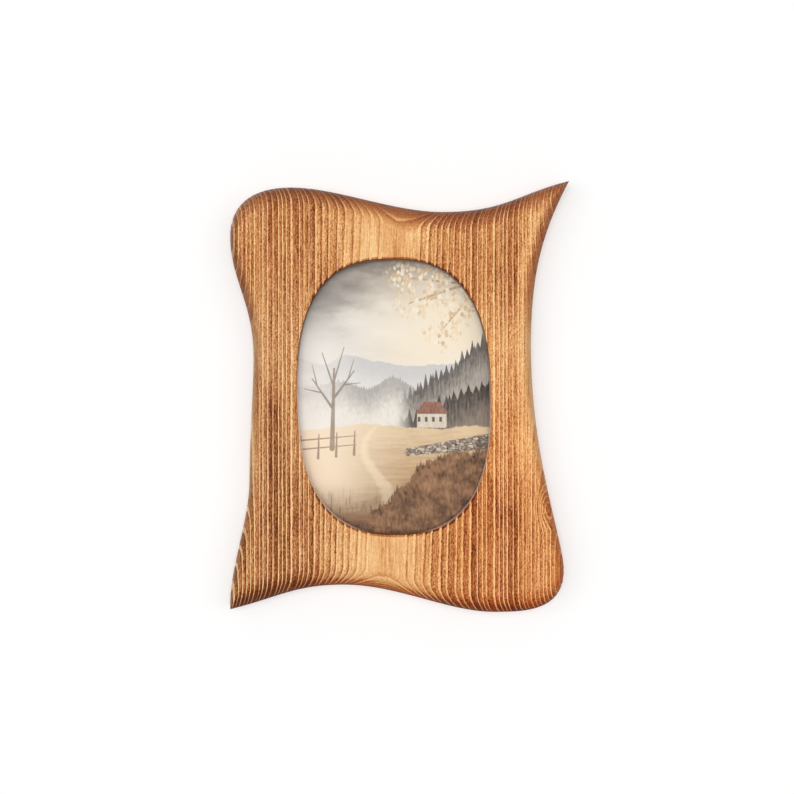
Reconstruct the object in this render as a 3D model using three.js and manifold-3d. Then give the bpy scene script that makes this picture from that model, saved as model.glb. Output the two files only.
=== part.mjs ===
// Wall picture frame sawn from one pine plank: an S-curved outline with two pointed and two round
// corners, an oval sight opening, a rebate behind it for a glazed print, and its hanging hardware.
// Millimetres. +Z is up, the front faces -Y, and +X is to the right as seen from the front.
// The origin is the middle notch of the sawtooth hanger, where the frame bears on its wall nail.
import * as THREE from "three";
import { mergeVertices } from "three/addons/utils/BufferGeometryUtils.js";
import Module from "manifold-3d";

const wasm = await Module();
wasm.setup();

// Print and what is stacked with it, from the front to the back
const PRINT_WIDTH = 102;
const PRINT_HEIGHT = 152;
const GLASS_THICKNESS = 2;
const PRINT_THICKNESS = 0.3;
const CARD_THICKNESS = 2;
const PANEL_THICKNESS = 3;
const PANEL_SETBACK = 0.3;
const SHEET_PLAY = 0.6;
const SEAT_GAP = 0.1;

// Plank, rebate and oval sight opening
const REBATE_MARGIN = 1;
const LIP_THICKNESS = 12;
const SIGHT_LIP_SIDE = 4.1;
const SIGHT_LIP_END = 8.9;
const OVAL_SQUARENESS = 2.6;
const OVAL_LEAN = -0.018;

// Outline, as distances from the rebate's edges or from the middle of the oval
const TOP_WAIST_X = 24.5;
const TOP_WAIST_LAND = 15.4;
const BOTTOM_WAIST_X = -25;
const BOTTOM_WAIST_LAND = 16.9;
const LEFT_WAIST_Z = 20;
const LEFT_WAIST_LAND = 18.2;
const LEFT_RUN_FROM_CORNER = 35.5;
const LEFT_RUN_LAND = 20.2;
const RIGHT_WAIST_Z = 25;
const RIGHT_WAIST_LAND = 16.5;
const UPPER_TIP_OUT = 35.6;
const UPPER_TIP_UP = 30.9;
const LOWER_TIP_OUT = 29.8;
const LOWER_TIP_DOWN = 29.2;
const UPPER_ROUND_SIDE_LAND = 29.8;
const UPPER_ROUND_SIDE_UP = 3;
const UPPER_ROUND_END_LAND = 27.6;
const UPPER_ROUND_END_IN = 0.5;
const LOWER_ROUND_SIDE_LAND = 32.8;
const LOWER_ROUND_SIDE_DOWN = 9.5;
const LOWER_ROUND_END_LAND = 30.5;
const LOWER_ROUND_END_IN = 2;

// Rounding of the plank's outer edge
const SIDE_ROUND_REACH = 5.5;
const END_ROUND_REACH = 10;
const ROUND_DROP = 11;
const BACK_ARRIS = 1.5;

// Turn buttons and their screws
const BUTTON_SETBACK = 8;
const BUTTON_OVERLAP = 8;
const BUTTON_FROM_CORNER = 32;
const BUTTON_WIDTH = 9;
const BUTTON_THICKNESS = 1.2;
const SCREW_SHANK_DIAMETER = 3;
const SCREW_HEAD_DIAMETER = 6;
const SCREW_HEAD_EDGE = 0.8;
const SCREW_HEAD_HEIGHT = 1.9;
const SCREW_LENGTH_IN_WOOD = 12;
const SCREW_POINT_LENGTH = 3;
const RECESS_LENGTH = 3;
const RECESS_WIDTH = 0.8;
const RECESS_DEPTH = 1;

// Sawtooth hanger and its nails
const HANGER_HEIGHT = 9;
const HANGER_SHEET = 0.9;
const HANGER_LIFT = 2;
const HANGER_TAB = 8;
const HANGER_RAMP = 2;
const HANGER_SHOULDER = 2;
const NOTCHES_EACH_SIDE = 2;
const NOTCH_PITCH = 4;
const NOTCH_MOUTH = 3.2;
const NOTCH_ROOT = 1.4;
const NOTCH_DEPTH = 2.2;
const NAIL_DIAMETER = 1.4;
const NAIL_HEAD_DIAMETER = 3.4;
const NAIL_HEAD_EDGE = 0.4;
const NAIL_HEAD_HEIGHT = 0.8;
const NAIL_LENGTH_IN_WOOD = 10;
const NAIL_POINT_LENGTH = 2;

// Rubber bumpers
const BUMPER_OUT = 10;
const BUMPER_DOWN = 13;
const BUMPER_BASE_DIAMETER = 10;
const BUMPER_FACE_DIAMETER = 7;
const BUMPER_HEIGHT = 4;
const BUMPER_EDGE = 0.6;

// Clearance of a screw or nail in its hole, on the radius and past its point
const HOLE_CLEARANCE = 0.25;
const POINT_CLEARANCE = 0.5;

// How far a cut runs past the face that it opens
const CUT_OVERRUN = 1;

// Facets
const STEPS_PER_STRETCH = 12;
const ROUND_STEPS = 5;
const DOME_STEPS = 3;
const TURNED_SEGMENTS = 20;

// Sizes that follow from those above
const REBATE_HALF_WIDTH = PRINT_WIDTH / 2 + REBATE_MARGIN;
const REBATE_HALF_HEIGHT = PRINT_HEIGHT / 2 + REBATE_MARGIN;
const SHEET_STACK = GLASS_THICKNESS + PRINT_THICKNESS + CARD_THICKNESS + PANEL_THICKNESS;
const SHEET_COUNT = 4;
const REBATE_DEPTH = SHEET_STACK + SHEET_COUNT * SEAT_GAP + PANEL_SETBACK;
const BOARD_THICKNESS = LIP_THICKNESS + REBATE_DEPTH;
const OVAL_HALF_WIDTH = REBATE_HALF_WIDTH - SIGHT_LIP_SIDE;
const OVAL_HALF_HEIGHT = REBATE_HALF_HEIGHT - SIGHT_LIP_END;
const SCREW_HOLE_RADIUS = SCREW_SHANK_DIAMETER / 2 + HOLE_CLEARANCE;
const NAIL_HOLE_RADIUS = NAIL_DIAMETER / 2 + HOLE_CLEARANCE;
const BUTTON_X = REBATE_HALF_WIDTH + BUTTON_SETBACK;
const BUTTON_Z = REBATE_HALF_HEIGHT - BUTTON_FROM_CORNER;
const HANGER_HALF_RAISED = (NOTCHES_EACH_SIDE + 0.5) * NOTCH_PITCH + HANGER_SHOULDER;
const HANGER_HALF_LENGTH = HANGER_HALF_RAISED + HANGER_RAMP + HANGER_TAB;
const HANGER_BOTTOM = REBATE_HALF_HEIGHT + (TOP_WAIST_LAND - HANGER_HEIGHT) / 2;
const NAIL_X = HANGER_HALF_LENGTH - HANGER_TAB / 2;
const NAIL_Z = HANGER_BOTTOM + HANGER_HEIGHT / 2;

// In the functions below the plank's back face is at y = 0 and the oval's middle at x = z = 0.

// Finishes
function finish(color, roughness, metalness) {
  return new THREE.MeshStandardMaterial({ color, roughness, metalness });
}
const brushedPine = finish(0xa8682f, 0.6, 0);
const clearGlass = new THREE.MeshStandardMaterial({
  color: 0xe8eeee,
  roughness: 0.05,
  metalness: 0,
  transparent: true,
  opacity: 0.3,
});
const printPaper = finish(0xb9a892, 0.5, 0);
const greyCard = finish(0xb8b2a4, 0.9, 0);
const hardboard = finish(0x6d4a2e, 0.8, 0);
const zincSteel = finish(0xb4b6b8, 0.35, 1);
const brassPlate = finish(0xb58f4a, 0.35, 1);
const blackRubber = finish(0x232323, 0.85, 0);

// Solids for cutting
function toSolid(geometry) {
  const bare = geometry.index ? geometry.toNonIndexed() : geometry.clone();
  bare.deleteAttribute("normal");
  bare.deleteAttribute("uv");
  const merged = mergeVertices(bare, 1e-4);
  const vertProperties = merged.attributes.position.array;
  const triVerts = new Uint32Array(merged.index.array);
  return new wasm.Manifold(new wasm.Mesh({ numProp: 3, vertProperties, triVerts }));
}

function toGeometry(solid) {
  const mesh = solid.getMesh();
  const geometry = new THREE.BufferGeometry();
  geometry.setAttribute("position", new THREE.BufferAttribute(mesh.vertProperties, 3));
  geometry.setIndex(new THREE.BufferAttribute(mesh.triVerts, 1));
  geometry.computeVertexNormals();
  return geometry;
}

function cut(geometry, tools) {
  const solid = tools.reduce((left, tool) => left.subtract(toSolid(tool)), toSolid(geometry));
  return toGeometry(solid);
}

// A plate whose outline is drawn as (x, z), with its back face at backY
function plate(shape, thickness, backY) {
  const settings = { depth: thickness, bevelEnabled: false, curveSegments: TURNED_SEGMENTS / 2 };
  const geometry = new THREE.ExtrudeGeometry(shape, settings);
  geometry.rotateX(Math.PI / 2);
  return geometry.translate(0, backY, 0);
}

function boxBetween(x, y, z) {
  const geometry = new THREE.BoxGeometry(x[1] - x[0], y[1] - y[0], z[1] - z[0]);
  return geometry.translate((x[0] + x[1]) / 2, (y[0] + y[1]) / 2, (z[0] + z[1]) / 2);
}

// A solid turned about the Y axis from (radius, y) points, listed from the front to the back
function turned(profile) {
  const points = profile.map(([radius, y]) => new THREE.Vector2(radius, y));
  return new THREE.LatheGeometry(points, TURNED_SEGMENTS);
}

// Points of a domed head from its rim to its crown
function dome(radius, rimY, crownY) {
  return Array.from({ length: DOME_STEPS + 1 }, (_, step) => {
    const angle = (step / DOME_STEPS) * (Math.PI / 2);
    const reach = step < DOME_STEPS ? radius * Math.cos(angle) : 0;
    return [reach, rimY + (crownY - rimY) * Math.sin(angle)];
  });
}

// A round cutting tool along Y
function drill(x, z, radius, y) {
  const tool = new THREE.CylinderGeometry(radius, radius, y[1] - y[0], TURNED_SEGMENTS);
  return tool.translate(x, (y[0] + y[1]) / 2, z);
}

// Outline of the plank, clockwise from the top waist as seen from the front. A station has its place,
// the headings in degrees at which the edge comes in and goes out, and how much of the way to the
// station before and after it these headings steer the curve.
const right = REBATE_HALF_WIDTH;
const top = REBATE_HALF_HEIGHT;
const stations = [
  { at: [TOP_WAIST_X, top + TOP_WAIST_LAND], heading: [0, 0], hold: [0.33, 0.48] },
  { at: [right + UPPER_TIP_OUT, top + UPPER_TIP_UP], heading: [13.5, 242], hold: [0.4, 0.38] },
  { at: [right + RIGHT_WAIST_LAND, RIGHT_WAIST_Z], heading: [270, 270], hold: [0.38, 0.5] },
  {
    at: [right + LOWER_ROUND_SIDE_LAND, -top - LOWER_ROUND_SIDE_DOWN],
    heading: [270, 270],
    hold: [0.14, 0.51],
  },
  {
    at: [right - LOWER_ROUND_END_IN, -top - LOWER_ROUND_END_LAND],
    heading: [180, 180],
    hold: [0.38, 0.3],
  },
  { at: [BOTTOM_WAIST_X, -top - BOTTOM_WAIST_LAND], heading: [180, 180], hold: [0.35, 0.42] },
  { at: [-right - LOWER_TIP_OUT, -top - LOWER_TIP_DOWN], heading: [194, 92], hold: [0.44, 0.31] },
  { at: [-right - LEFT_RUN_LAND, LEFT_RUN_FROM_CORNER - top], heading: [90, 90], hold: [0.31, 0.36] },
  { at: [-right - LEFT_WAIST_LAND, LEFT_WAIST_Z], heading: [90, 90], hold: [0.29, 0.44] },
  {
    at: [-right - UPPER_ROUND_SIDE_LAND, top + UPPER_ROUND_SIDE_UP],
    heading: [90, 90],
    hold: [0.35, 0.42],
  },
  {
    at: [-right + UPPER_ROUND_END_IN, top + UPPER_ROUND_END_LAND],
    heading: [0, 0],
    hold: [0.49, 0.3],
  },
];

function along(degrees, length) {
  const angle = THREE.MathUtils.degToRad(degrees);
  return new THREE.Vector2(Math.cos(angle) * length, Math.sin(angle) * length);
}

function stretch(from, to) {
  const start = new THREE.Vector2(...from.at);
  const end = new THREE.Vector2(...to.at);
  const span = start.distanceTo(end);
  const leaving = start.clone().add(along(from.heading[1], from.hold[1] * span));
  const arriving = end.clone().sub(along(to.heading[0], to.hold[0] * span));
  return new THREE.CubicBezierCurve(start, leaving, arriving, end);
}

const outline = stations.flatMap((station, i) => {
  const curve = stretch(station, stations[(i + 1) % stations.length]);
  return curve.getPoints(STEPS_PER_STRETCH).slice(0, -1);
});

// The oval's edge on the line from its middle towards an outline point
function ovalPointTowards(point) {
  const angle = Math.atan2(point.y / OVAL_HALF_HEIGHT, point.x / OVAL_HALF_WIDTH);
  const squared = (value) => Math.sign(value) * Math.abs(value) ** (2 / OVAL_SQUARENESS);
  const z = OVAL_HALF_HEIGHT * squared(Math.sin(angle));
  const x = OVAL_HALF_WIDTH * squared(Math.cos(angle)) + OVAL_LEAN * z;
  return new THREE.Vector2(x, z);
}
const oval = outline.map(ovalPointTowards);

// Edges of the outline, with the reach of the rounding there: long on end grain, short on the sides
const edges = outline.map((start, i) => {
  const run = outline[(i + 1) % outline.length].clone().sub(start);
  const endGrain = (run.x / run.length()) ** 2;
  const reach = THREE.MathUtils.lerp(SIDE_ROUND_REACH, END_ROUND_REACH, endGrain);
  return { start, run, reach };
});

function distanceToEdge(point, { start, run }) {
  const offset = point.clone().sub(start);
  const share = THREE.MathUtils.clamp(offset.dot(run) / run.lengthSq(), 0, 1);
  return offset.addScaledVector(run, -share).length();
}
const insetInReaches = (point) => Math.min(...edges.map((e) => distanceToEdge(point, e) / e.reach));
const insetInLength = (point) => Math.min(...edges.map((e) => distanceToEdge(point, e)));

// The point, on the line from the outline's point i to the oval, where the inset reaches a value
function insetPoint(i, measure, value) {
  const halvings = 24;
  let near = 0;
  let far = 1;
  for (let step = 0; step < halvings; step += 1) {
    const middle = (near + far) / 2;
    const inset = measure(outline[i].clone().lerp(oval[i], middle));
    if (inset < value) near = middle;
    else far = middle;
  }
  return outline[i].clone().lerp(oval[i], far);
}

// Closed skin over rings of points: each ring is joined to the next and the last to the first
function ringSkin(rings) {
  const count = rings[0].length;
  const positions = rings.flat().flatMap((p) => [p.x, p.y, p.z]);
  const index = [];
  for (let r = 0; r < rings.length; r += 1) {
    const next = (r + 1) % rings.length;
    for (let i = 0; i < count; i += 1) {
      const j = (i + 1) % count;
      const [a, b] = [r * count + i, r * count + j];
      const [c, d] = [next * count + i, next * count + j];
      index.push(a, b, d, a, d, c);
    }
  }
  const geometry = new THREE.BufferGeometry();
  geometry.setAttribute("position", new THREE.Float32BufferAttribute(positions, 3));
  geometry.setIndex(index);
  return geometry;
}

// Plank with its rounded outer edge, oval opening, rebate and pilot holes
function frameBodyGeometry() {
  const level = (points, y) => points.map((p) => new THREE.Vector3(p.x, y, p.y));
  const insetRing = (measure, value) => outline.map((_, i) => insetPoint(i, measure, value));
  const rings = [level(oval, 0), level(oval, -BOARD_THICKNESS)];
  for (let step = ROUND_STEPS; step > 0; step -= 1) {
    const angle = (step / ROUND_STEPS) * (Math.PI / 2);
    const drop = ROUND_DROP * (1 - Math.sin(angle));
    rings.push(level(insetRing(insetInReaches, 1 - Math.cos(angle)), drop - BOARD_THICKNESS));
  }
  rings.push(level(outline, ROUND_DROP - BOARD_THICKNESS));
  rings.push(level(outline, -BACK_ARRIS));
  rings.push(level(insetRing(insetInLength, BACK_ARRIS), 0));

  const rebate = boxBetween(
    [-REBATE_HALF_WIDTH, REBATE_HALF_WIDTH],
    [-REBATE_DEPTH, CUT_OVERRUN],
    [-REBATE_HALF_HEIGHT, REBATE_HALF_HEIGHT],
  );
  const screwDepth = [-SCREW_LENGTH_IN_WOOD - POINT_CLEARANCE, CUT_OVERRUN];
  const screwHoles = buttonPlaces.map(({ x, z }) => drill(x, z, SCREW_HOLE_RADIUS, screwDepth));
  const nailDepth = [-NAIL_LENGTH_IN_WOOD - POINT_CLEARANCE, CUT_OVERRUN];
  const nailHoles = sides.map(({ sign }) => drill(sign * NAIL_X, NAIL_Z, NAIL_HOLE_RADIUS, nailDepth));
  return cut(ringSkin(rings), [rebate, ...screwHoles, ...nailHoles]);
}

// Glass, print, card or panel: a rectangle in the rebate with its front face at frontY
function sheetGeometry(width, height, thickness, frontY) {
  const depth = [frontY, frontY + thickness];
  return boxBetween([-width / 2, width / 2], depth, [-height / 2, height / 2]);
}

// Turn button: a flat strip with round ends, drawn from its screw towards +X
function turnButtonGeometry() {
  const radius = BUTTON_WIDTH / 2;
  const farCentre = BUTTON_SETBACK + BUTTON_OVERLAP - radius;
  const shape = new THREE.Shape();
  shape.absarc(0, 0, radius, Math.PI / 2, (3 * Math.PI) / 2, false);
  shape.absarc(farCentre, 0, radius, -Math.PI / 2, Math.PI / 2, false);
  shape.closePath();
  const hole = new THREE.Path();
  hole.absarc(0, 0, SCREW_HOLE_RADIUS, 0, 2 * Math.PI, true);
  shape.holes.push(hole);
  return plate(shape, BUTTON_THICKNESS, SEAT_GAP + BUTTON_THICKNESS);
}

// Pan-head screw with a pointed shank and a cross recess
function screwGeometry() {
  const seat = BUTTON_THICKNESS + 2 * SEAT_GAP;
  const crown = seat + SCREW_HEAD_HEIGHT;
  const shankRadius = SCREW_SHANK_DIAMETER / 2;
  const headRadius = SCREW_HEAD_DIAMETER / 2;
  const screw = turned([
    [0, -SCREW_LENGTH_IN_WOOD],
    [shankRadius, SCREW_POINT_LENGTH - SCREW_LENGTH_IN_WOOD],
    [shankRadius, seat],
    [headRadius, seat],
    ...dome(headRadius, seat + SCREW_HEAD_EDGE, crown),
  ]);
  const long = [-RECESS_LENGTH / 2, RECESS_LENGTH / 2];
  const narrow = [-RECESS_WIDTH / 2, RECESS_WIDTH / 2];
  const deep = [crown - RECESS_DEPTH, crown + CUT_OVERRUN];
  return cut(screw, [boxBetween(long, deep, narrow), boxBetween(narrow, deep, long)]);
}

// Sawtooth hanger: a strip with end tabs on the wood, a raised middle and notches in its lower edge
function hangerGeometry() {
  const front = SEAT_GAP;
  const raised = front + HANGER_LIFT;
  const foot = HANGER_HALF_RAISED + HANGER_RAMP;
  const wave = [
    [-HANGER_HALF_LENGTH, front],
    [-foot, front],
    [-HANGER_HALF_RAISED, raised],
    [HANGER_HALF_RAISED, raised],
    [foot, front],
    [HANGER_HALF_LENGTH, front],
  ].map(([x, y]) => new THREE.Vector2(x, y));
  const back = wave.map((p) => new THREE.Vector2(p.x, p.y + HANGER_SHEET)).reverse();
  const settings = { depth: HANGER_HEIGHT, bevelEnabled: false };
  const strip = new THREE.ExtrudeGeometry(new THREE.Shape([...wave, ...back]), settings);
  strip.translate(0, 0, HANGER_BOTTOM);

  const slope = (NOTCH_MOUTH - NOTCH_ROOT) / 2 / NOTCH_DEPTH;
  const mouth = NOTCH_MOUTH / 2 + slope * CUT_OVERRUN;
  const notchShape = new THREE.Shape();
  notchShape.moveTo(-mouth, -CUT_OVERRUN);
  notchShape.lineTo(mouth, -CUT_OVERRUN);
  notchShape.lineTo(NOTCH_ROOT / 2, NOTCH_DEPTH);
  notchShape.lineTo(-NOTCH_ROOT / 2, NOTCH_DEPTH);
  notchShape.closePath();
  const through = HANGER_SHEET + 2 * CUT_OVERRUN;
  const notches = [];
  for (let i = -NOTCHES_EACH_SIDE; i <= NOTCHES_EACH_SIDE; i += 1) {
    const notch = plate(notchShape, through, raised + HANGER_SHEET + CUT_OVERRUN);
    notches.push(notch.translate(i * NOTCH_PITCH, 0, HANGER_BOTTOM));
  }
  const tab = [front - CUT_OVERRUN, front + HANGER_SHEET + CUT_OVERRUN];
  const tabHoles = sides.map(({ sign }) => drill(sign * NAIL_X, NAIL_Z, NAIL_HOLE_RADIUS, tab));
  return cut(strip, [...notches, ...tabHoles]);
}

// Flat-headed hanger nail
function nailGeometry() {
  const seat = HANGER_SHEET + 2 * SEAT_GAP;
  const crown = seat + NAIL_HEAD_HEIGHT;
  return turned([
    [0, -NAIL_LENGTH_IN_WOOD],
    [NAIL_DIAMETER / 2, NAIL_POINT_LENGTH - NAIL_LENGTH_IN_WOOD],
    [NAIL_DIAMETER / 2, seat],
    [NAIL_HEAD_DIAMETER / 2, seat],
    ...dome(NAIL_HEAD_DIAMETER / 2, seat + NAIL_HEAD_EDGE, crown),
  ]);
}

// Stick-on rubber bumper: a low cone with a flat face for the wall
function bumperGeometry() {
  const face = SEAT_GAP + BUMPER_HEIGHT;
  return turned([
    [0, SEAT_GAP],
    [BUMPER_BASE_DIAMETER / 2, SEAT_GAP],
    [BUMPER_BASE_DIAMETER / 2, SEAT_GAP + BUMPER_EDGE],
    [BUMPER_FACE_DIAMETER / 2 + BUMPER_EDGE, face - BUMPER_EDGE],
    [BUMPER_FACE_DIAMETER / 2, face],
    [0, face],
  ]);
}

// Places of what is repeated, named as seen from the front
const sides = [
  { name: "left", sign: -1 },
  { name: "right", sign: 1 },
];
const levels = [
  { name: "upper", sign: 1 },
  { name: "lower", sign: -1 },
];
const buttonPlaces = levels.flatMap((level) => {
  return sides.map((side) => ({
    name: `${level.name}_${side.name}`,
    x: side.sign * BUTTON_X,
    z: level.sign * BUTTON_Z,
    turn: side.sign > 0 ? Math.PI : 0,
  }));
});

// Assembly
const frame = new THREE.Group();
frame.name = "oval_picture_frame";
const bearingY = SEAT_GAP + HANGER_LIFT + HANGER_SHEET / 2;
frame.position.set(0, -bearingY, -(HANGER_BOTTOM + NOTCH_DEPTH));

function addPiece(name, geometry, material, x = 0, z = 0) {
  const piece = new THREE.Mesh(geometry, material);
  piece.name = name;
  piece.position.set(x, 0, z);
  frame.add(piece);
  return piece;
}

addPiece("frame_body", frameBodyGeometry(), brushedPine);

const rebateFill = [2 * (REBATE_HALF_WIDTH - SHEET_PLAY), 2 * (REBATE_HALF_HEIGHT - SHEET_PLAY)];
const printSize = [PRINT_WIDTH, PRINT_HEIGHT];
const sheets = [
  { name: "glass_pane", size: rebateFill, thickness: GLASS_THICKNESS, material: clearGlass },
  { name: "picture_print", size: printSize, thickness: PRINT_THICKNESS, material: printPaper },
  { name: "filler_card", size: rebateFill, thickness: CARD_THICKNESS, material: greyCard },
  { name: "back_panel", size: rebateFill, thickness: PANEL_THICKNESS, material: hardboard },
];
let sheetFront = SEAT_GAP - REBATE_DEPTH;
for (const { name, size, thickness, material } of sheets) {
  addPiece(name, sheetGeometry(...size, thickness, sheetFront), material);
  sheetFront += thickness + SEAT_GAP;
}

for (const { name, x, z, turn } of buttonPlaces) {
  const button = addPiece(`turn_button_${name}`, turnButtonGeometry(), zincSteel, x, z);
  button.rotation.y = turn;
  addPiece(`turn_button_screw_${name}`, screwGeometry(), zincSteel, x, z);
}

addPiece("sawtooth_hanger", hangerGeometry(), brassPlate);
for (const { name, sign } of sides) {
  const bumperX = sign * (REBATE_HALF_WIDTH + BUMPER_OUT);
  const bumperZ = -(REBATE_HALF_HEIGHT + BUMPER_DOWN);
  addPiece(`hanger_nail_${name}`, nailGeometry(), zincSteel, sign * NAIL_X, NAIL_Z);
  addPiece(`wall_bumper_${name}`, bumperGeometry(), blackRubber, bumperX, bumperZ);
}

const part = new THREE.Group();
part.add(frame);
export default part;
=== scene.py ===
# %% [markdown]
# # A wall picture frame sawn from one pine plank
# The real frame is a 20 mm pine plank, sawn to a free curve with two pointed and two round corners
# and cut out to an oval. Its maker scorched it, wire-brushed it along the grain and oiled it, so that
# hard pale growth rings stand proud of dark soft wood. Behind the oval lie glass, a print, a card and
# a hardboard panel, held by four turn buttons.
#
# The imported model already has every piece in its place, in metres, with +Z up and the front towards
# -Y. This lesson dresses each piece where it is. The box of the imported model is kept from the start,
# because the plank's outline is held inside it and the wall stands just behind it.

import math

import bmesh
import bpy
import numpy as np
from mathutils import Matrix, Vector
from mathutils.geometry import delaunay_2d_cdt


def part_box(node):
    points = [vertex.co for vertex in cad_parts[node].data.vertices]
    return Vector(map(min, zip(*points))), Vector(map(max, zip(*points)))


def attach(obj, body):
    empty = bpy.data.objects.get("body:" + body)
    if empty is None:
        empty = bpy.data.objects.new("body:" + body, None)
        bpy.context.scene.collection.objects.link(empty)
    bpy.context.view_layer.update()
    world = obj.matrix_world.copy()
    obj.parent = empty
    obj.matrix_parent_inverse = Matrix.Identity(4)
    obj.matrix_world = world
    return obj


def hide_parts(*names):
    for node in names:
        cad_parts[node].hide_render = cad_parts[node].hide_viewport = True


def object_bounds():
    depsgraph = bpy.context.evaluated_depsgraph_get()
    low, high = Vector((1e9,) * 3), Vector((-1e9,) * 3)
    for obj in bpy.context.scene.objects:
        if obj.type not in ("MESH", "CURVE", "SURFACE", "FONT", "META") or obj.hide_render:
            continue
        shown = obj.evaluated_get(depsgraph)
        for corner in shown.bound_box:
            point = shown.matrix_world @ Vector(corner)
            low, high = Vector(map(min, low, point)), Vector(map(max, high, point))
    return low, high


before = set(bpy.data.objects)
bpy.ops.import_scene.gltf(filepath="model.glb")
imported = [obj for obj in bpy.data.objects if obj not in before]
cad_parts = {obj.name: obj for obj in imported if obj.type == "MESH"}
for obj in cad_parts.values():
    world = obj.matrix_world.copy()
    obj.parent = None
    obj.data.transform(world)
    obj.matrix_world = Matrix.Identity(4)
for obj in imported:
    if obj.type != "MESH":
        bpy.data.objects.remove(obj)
cad_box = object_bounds()
MM = 0.001
print("packed nodes:", len(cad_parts), "box in mm:", [[round(v / MM, 1) for v in c] for c in cad_box])

# %% [markdown]
# ## Camera
# The photograph looks straight at the frame from about 1.2 m. At the outline, which lies 11 mm behind
# the front face, the square picture is 397 mm wide, and that sets the lens. The camera comes first, so
# that every later cell can be judged in the picture that it makes.

# %% Camera in front of the oval
OVAL_MIDDLE = Vector((0, 0, -82.4 * MM))
BACK_Y = -2.55 * MM
BOARD_THICKNESS = 20 * MM
FRONT_Y = BACK_Y - BOARD_THICKNESS
ROUND_DROP = 11 * MM

EYE_DISTANCE = 1200 * MM
VIEW_WIDTH_AT_OUTLINE = 397 * MM
AIM_ACROSS = 1.53 * MM
AIM_UP = -0.1 * MM
SENSOR_WIDTH = 36
camera = bpy.data.objects.new("camera", bpy.data.cameras.new("camera"))
camera.data.sensor_width = SENSOR_WIDTH
camera.data.lens = SENSOR_WIDTH * (EYE_DISTANCE + ROUND_DROP) / VIEW_WIDTH_AT_OUTLINE
camera.location = OVAL_MIDDLE + Vector((AIM_ACROSS, FRONT_Y - EYE_DISTANCE, AIM_UP))
camera.rotation_euler = (math.pi / 2, 0, 0)
bpy.context.scene.collection.objects.link(camera)
bpy.context.scene.camera = camera
print("lens in mm:", round(camera.data.lens, 2))

# %% [markdown]
# ## Writing node trees as formulas
# Node trees are quick to read as arithmetic. The class below wraps one output socket. Adding or
# multiplying two of them adds a Math node, and `1 - mask` works too, because each operator has its
# reflected form. One method makes every other node: it takes the node's type, its settings, which are
# set first, and the values or links of its sockets. It serves shaders and Geometry Nodes alike.


# %% One class for sockets
class Wire:
    """An output socket in a node tree."""

    def __init__(self, tree, socket):
        self.tree = tree
        self.socket = socket

    @staticmethod
    def node(tree, kind, settings=None, sockets=None, out=0):
        made = tree.nodes.new(kind)
        for name, value in (settings or {}).items():
            if name == "stops":
                Wire.set_stops(made.color_ramp, value)
            else:
                setattr(made, name, value)
        for name, value in (sockets or {}).items():
            if isinstance(value, Wire):
                tree.links.new(value.socket, made.inputs[name])
            else:
                made.inputs[name].default_value = value
        return Wire(tree, made.outputs[out]) if made.outputs else made

    @staticmethod
    def set_stops(ramp, stops):
        while len(ramp.elements) < len(stops):
            ramp.elements.new(1)
        for element, (place, colour) in zip(ramp.elements, stops):
            element.position = place
            element.color = colour

    def sum_of(self, operation, first, second=0.0):
        settings = {"operation": operation}
        return Wire.node(self.tree, "ShaderNodeMath", settings, {0: first, 1: second})

    def __add__(self, other):
        return self.sum_of("ADD", self, other)

    def __radd__(self, other):
        return self.sum_of("ADD", other, self)

    def __sub__(self, other):
        return self.sum_of("SUBTRACT", self, other)

    def __rsub__(self, other):
        return self.sum_of("SUBTRACT", other, self)

    def __mul__(self, other):
        return self.sum_of("MULTIPLY", self, other)

    def __rmul__(self, other):
        return self.sum_of("MULTIPLY", other, self)

    def __truediv__(self, other):
        return self.sum_of("DIVIDE", self, other)

    def __pow__(self, other):
        return self.sum_of("POWER", self, other)

    def __abs__(self):
        return self.sum_of("ABSOLUTE", self)

    def __floor__(self):
        return self.sum_of("FLOOR", self)

    def fraction(self):
        return self.sum_of("FRACT", self)

    def root(self):
        return self.sum_of("SQRT", self)

    def sine(self):
        return self.sum_of("SINE", self)

    def at_least(self, other):
        return self.sum_of("MAXIMUM", self, other)

    def at_most(self, other):
        return self.sum_of("MINIMUM", self, other)

    def rise(self, low, high):
        """0 below low, 1 above high, and a smooth step between them."""
        settings = {"interpolation_type": "SMOOTHSTEP"}
        sockets = {0: self, 1: low, 2: high, 3: 0.0, 4: 1.0}
        return Wire.node(self.tree, "ShaderNodeMapRange", settings, sockets)

    def parts(self):
        """The three numbers of a vector."""
        split = Wire.node(self.tree, "ShaderNodeSeparateXYZ", None, {0: self}).socket.node
        return [Wire(self.tree, socket) for socket in split.outputs]

    def stretched(self, x, y, z):
        settings = {"operation": "MULTIPLY"}
        return Wire.node(self.tree, "ShaderNodeVectorMath", settings, {0: self, 1: (x, y, z)})


print("socket class ready")


# %% Noise, dice and colours
def noise(place, scale=1.0, detail=2.0, roughness=0.5):
    """Smooth noise from 0 to 1, about 0.5, over a vector."""
    sockets = {"Vector": place, "Scale": scale, "Detail": detail, "Roughness": roughness}
    return Wire.node(place.tree, "ShaderNodeTexNoise", None, sockets)


def noise_along(value, detail=1.0):
    """Smooth noise along one number."""
    sockets = {"W": value, "Scale": 1.0, "Detail": detail}
    return Wire.node(value.tree, "ShaderNodeTexNoise", {"noise_dimensions": "1D"}, sockets)


def dice(value):
    """A random number from 0 to 1 for each whole number."""
    return Wire.node(value.tree, "ShaderNodeTexWhiteNoise", {"noise_dimensions": "1D"}, {"W": value})


def blend(share, low, high, mode="MIX"):
    """A colour that goes from low to high as share goes from 0 to 1."""
    settings = {"data_type": "RGBA", "blend_type": mode}
    return Wire.node(share.tree, "ShaderNodeMix", settings, {0: share, 6: low, 7: high}, out=2)


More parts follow.
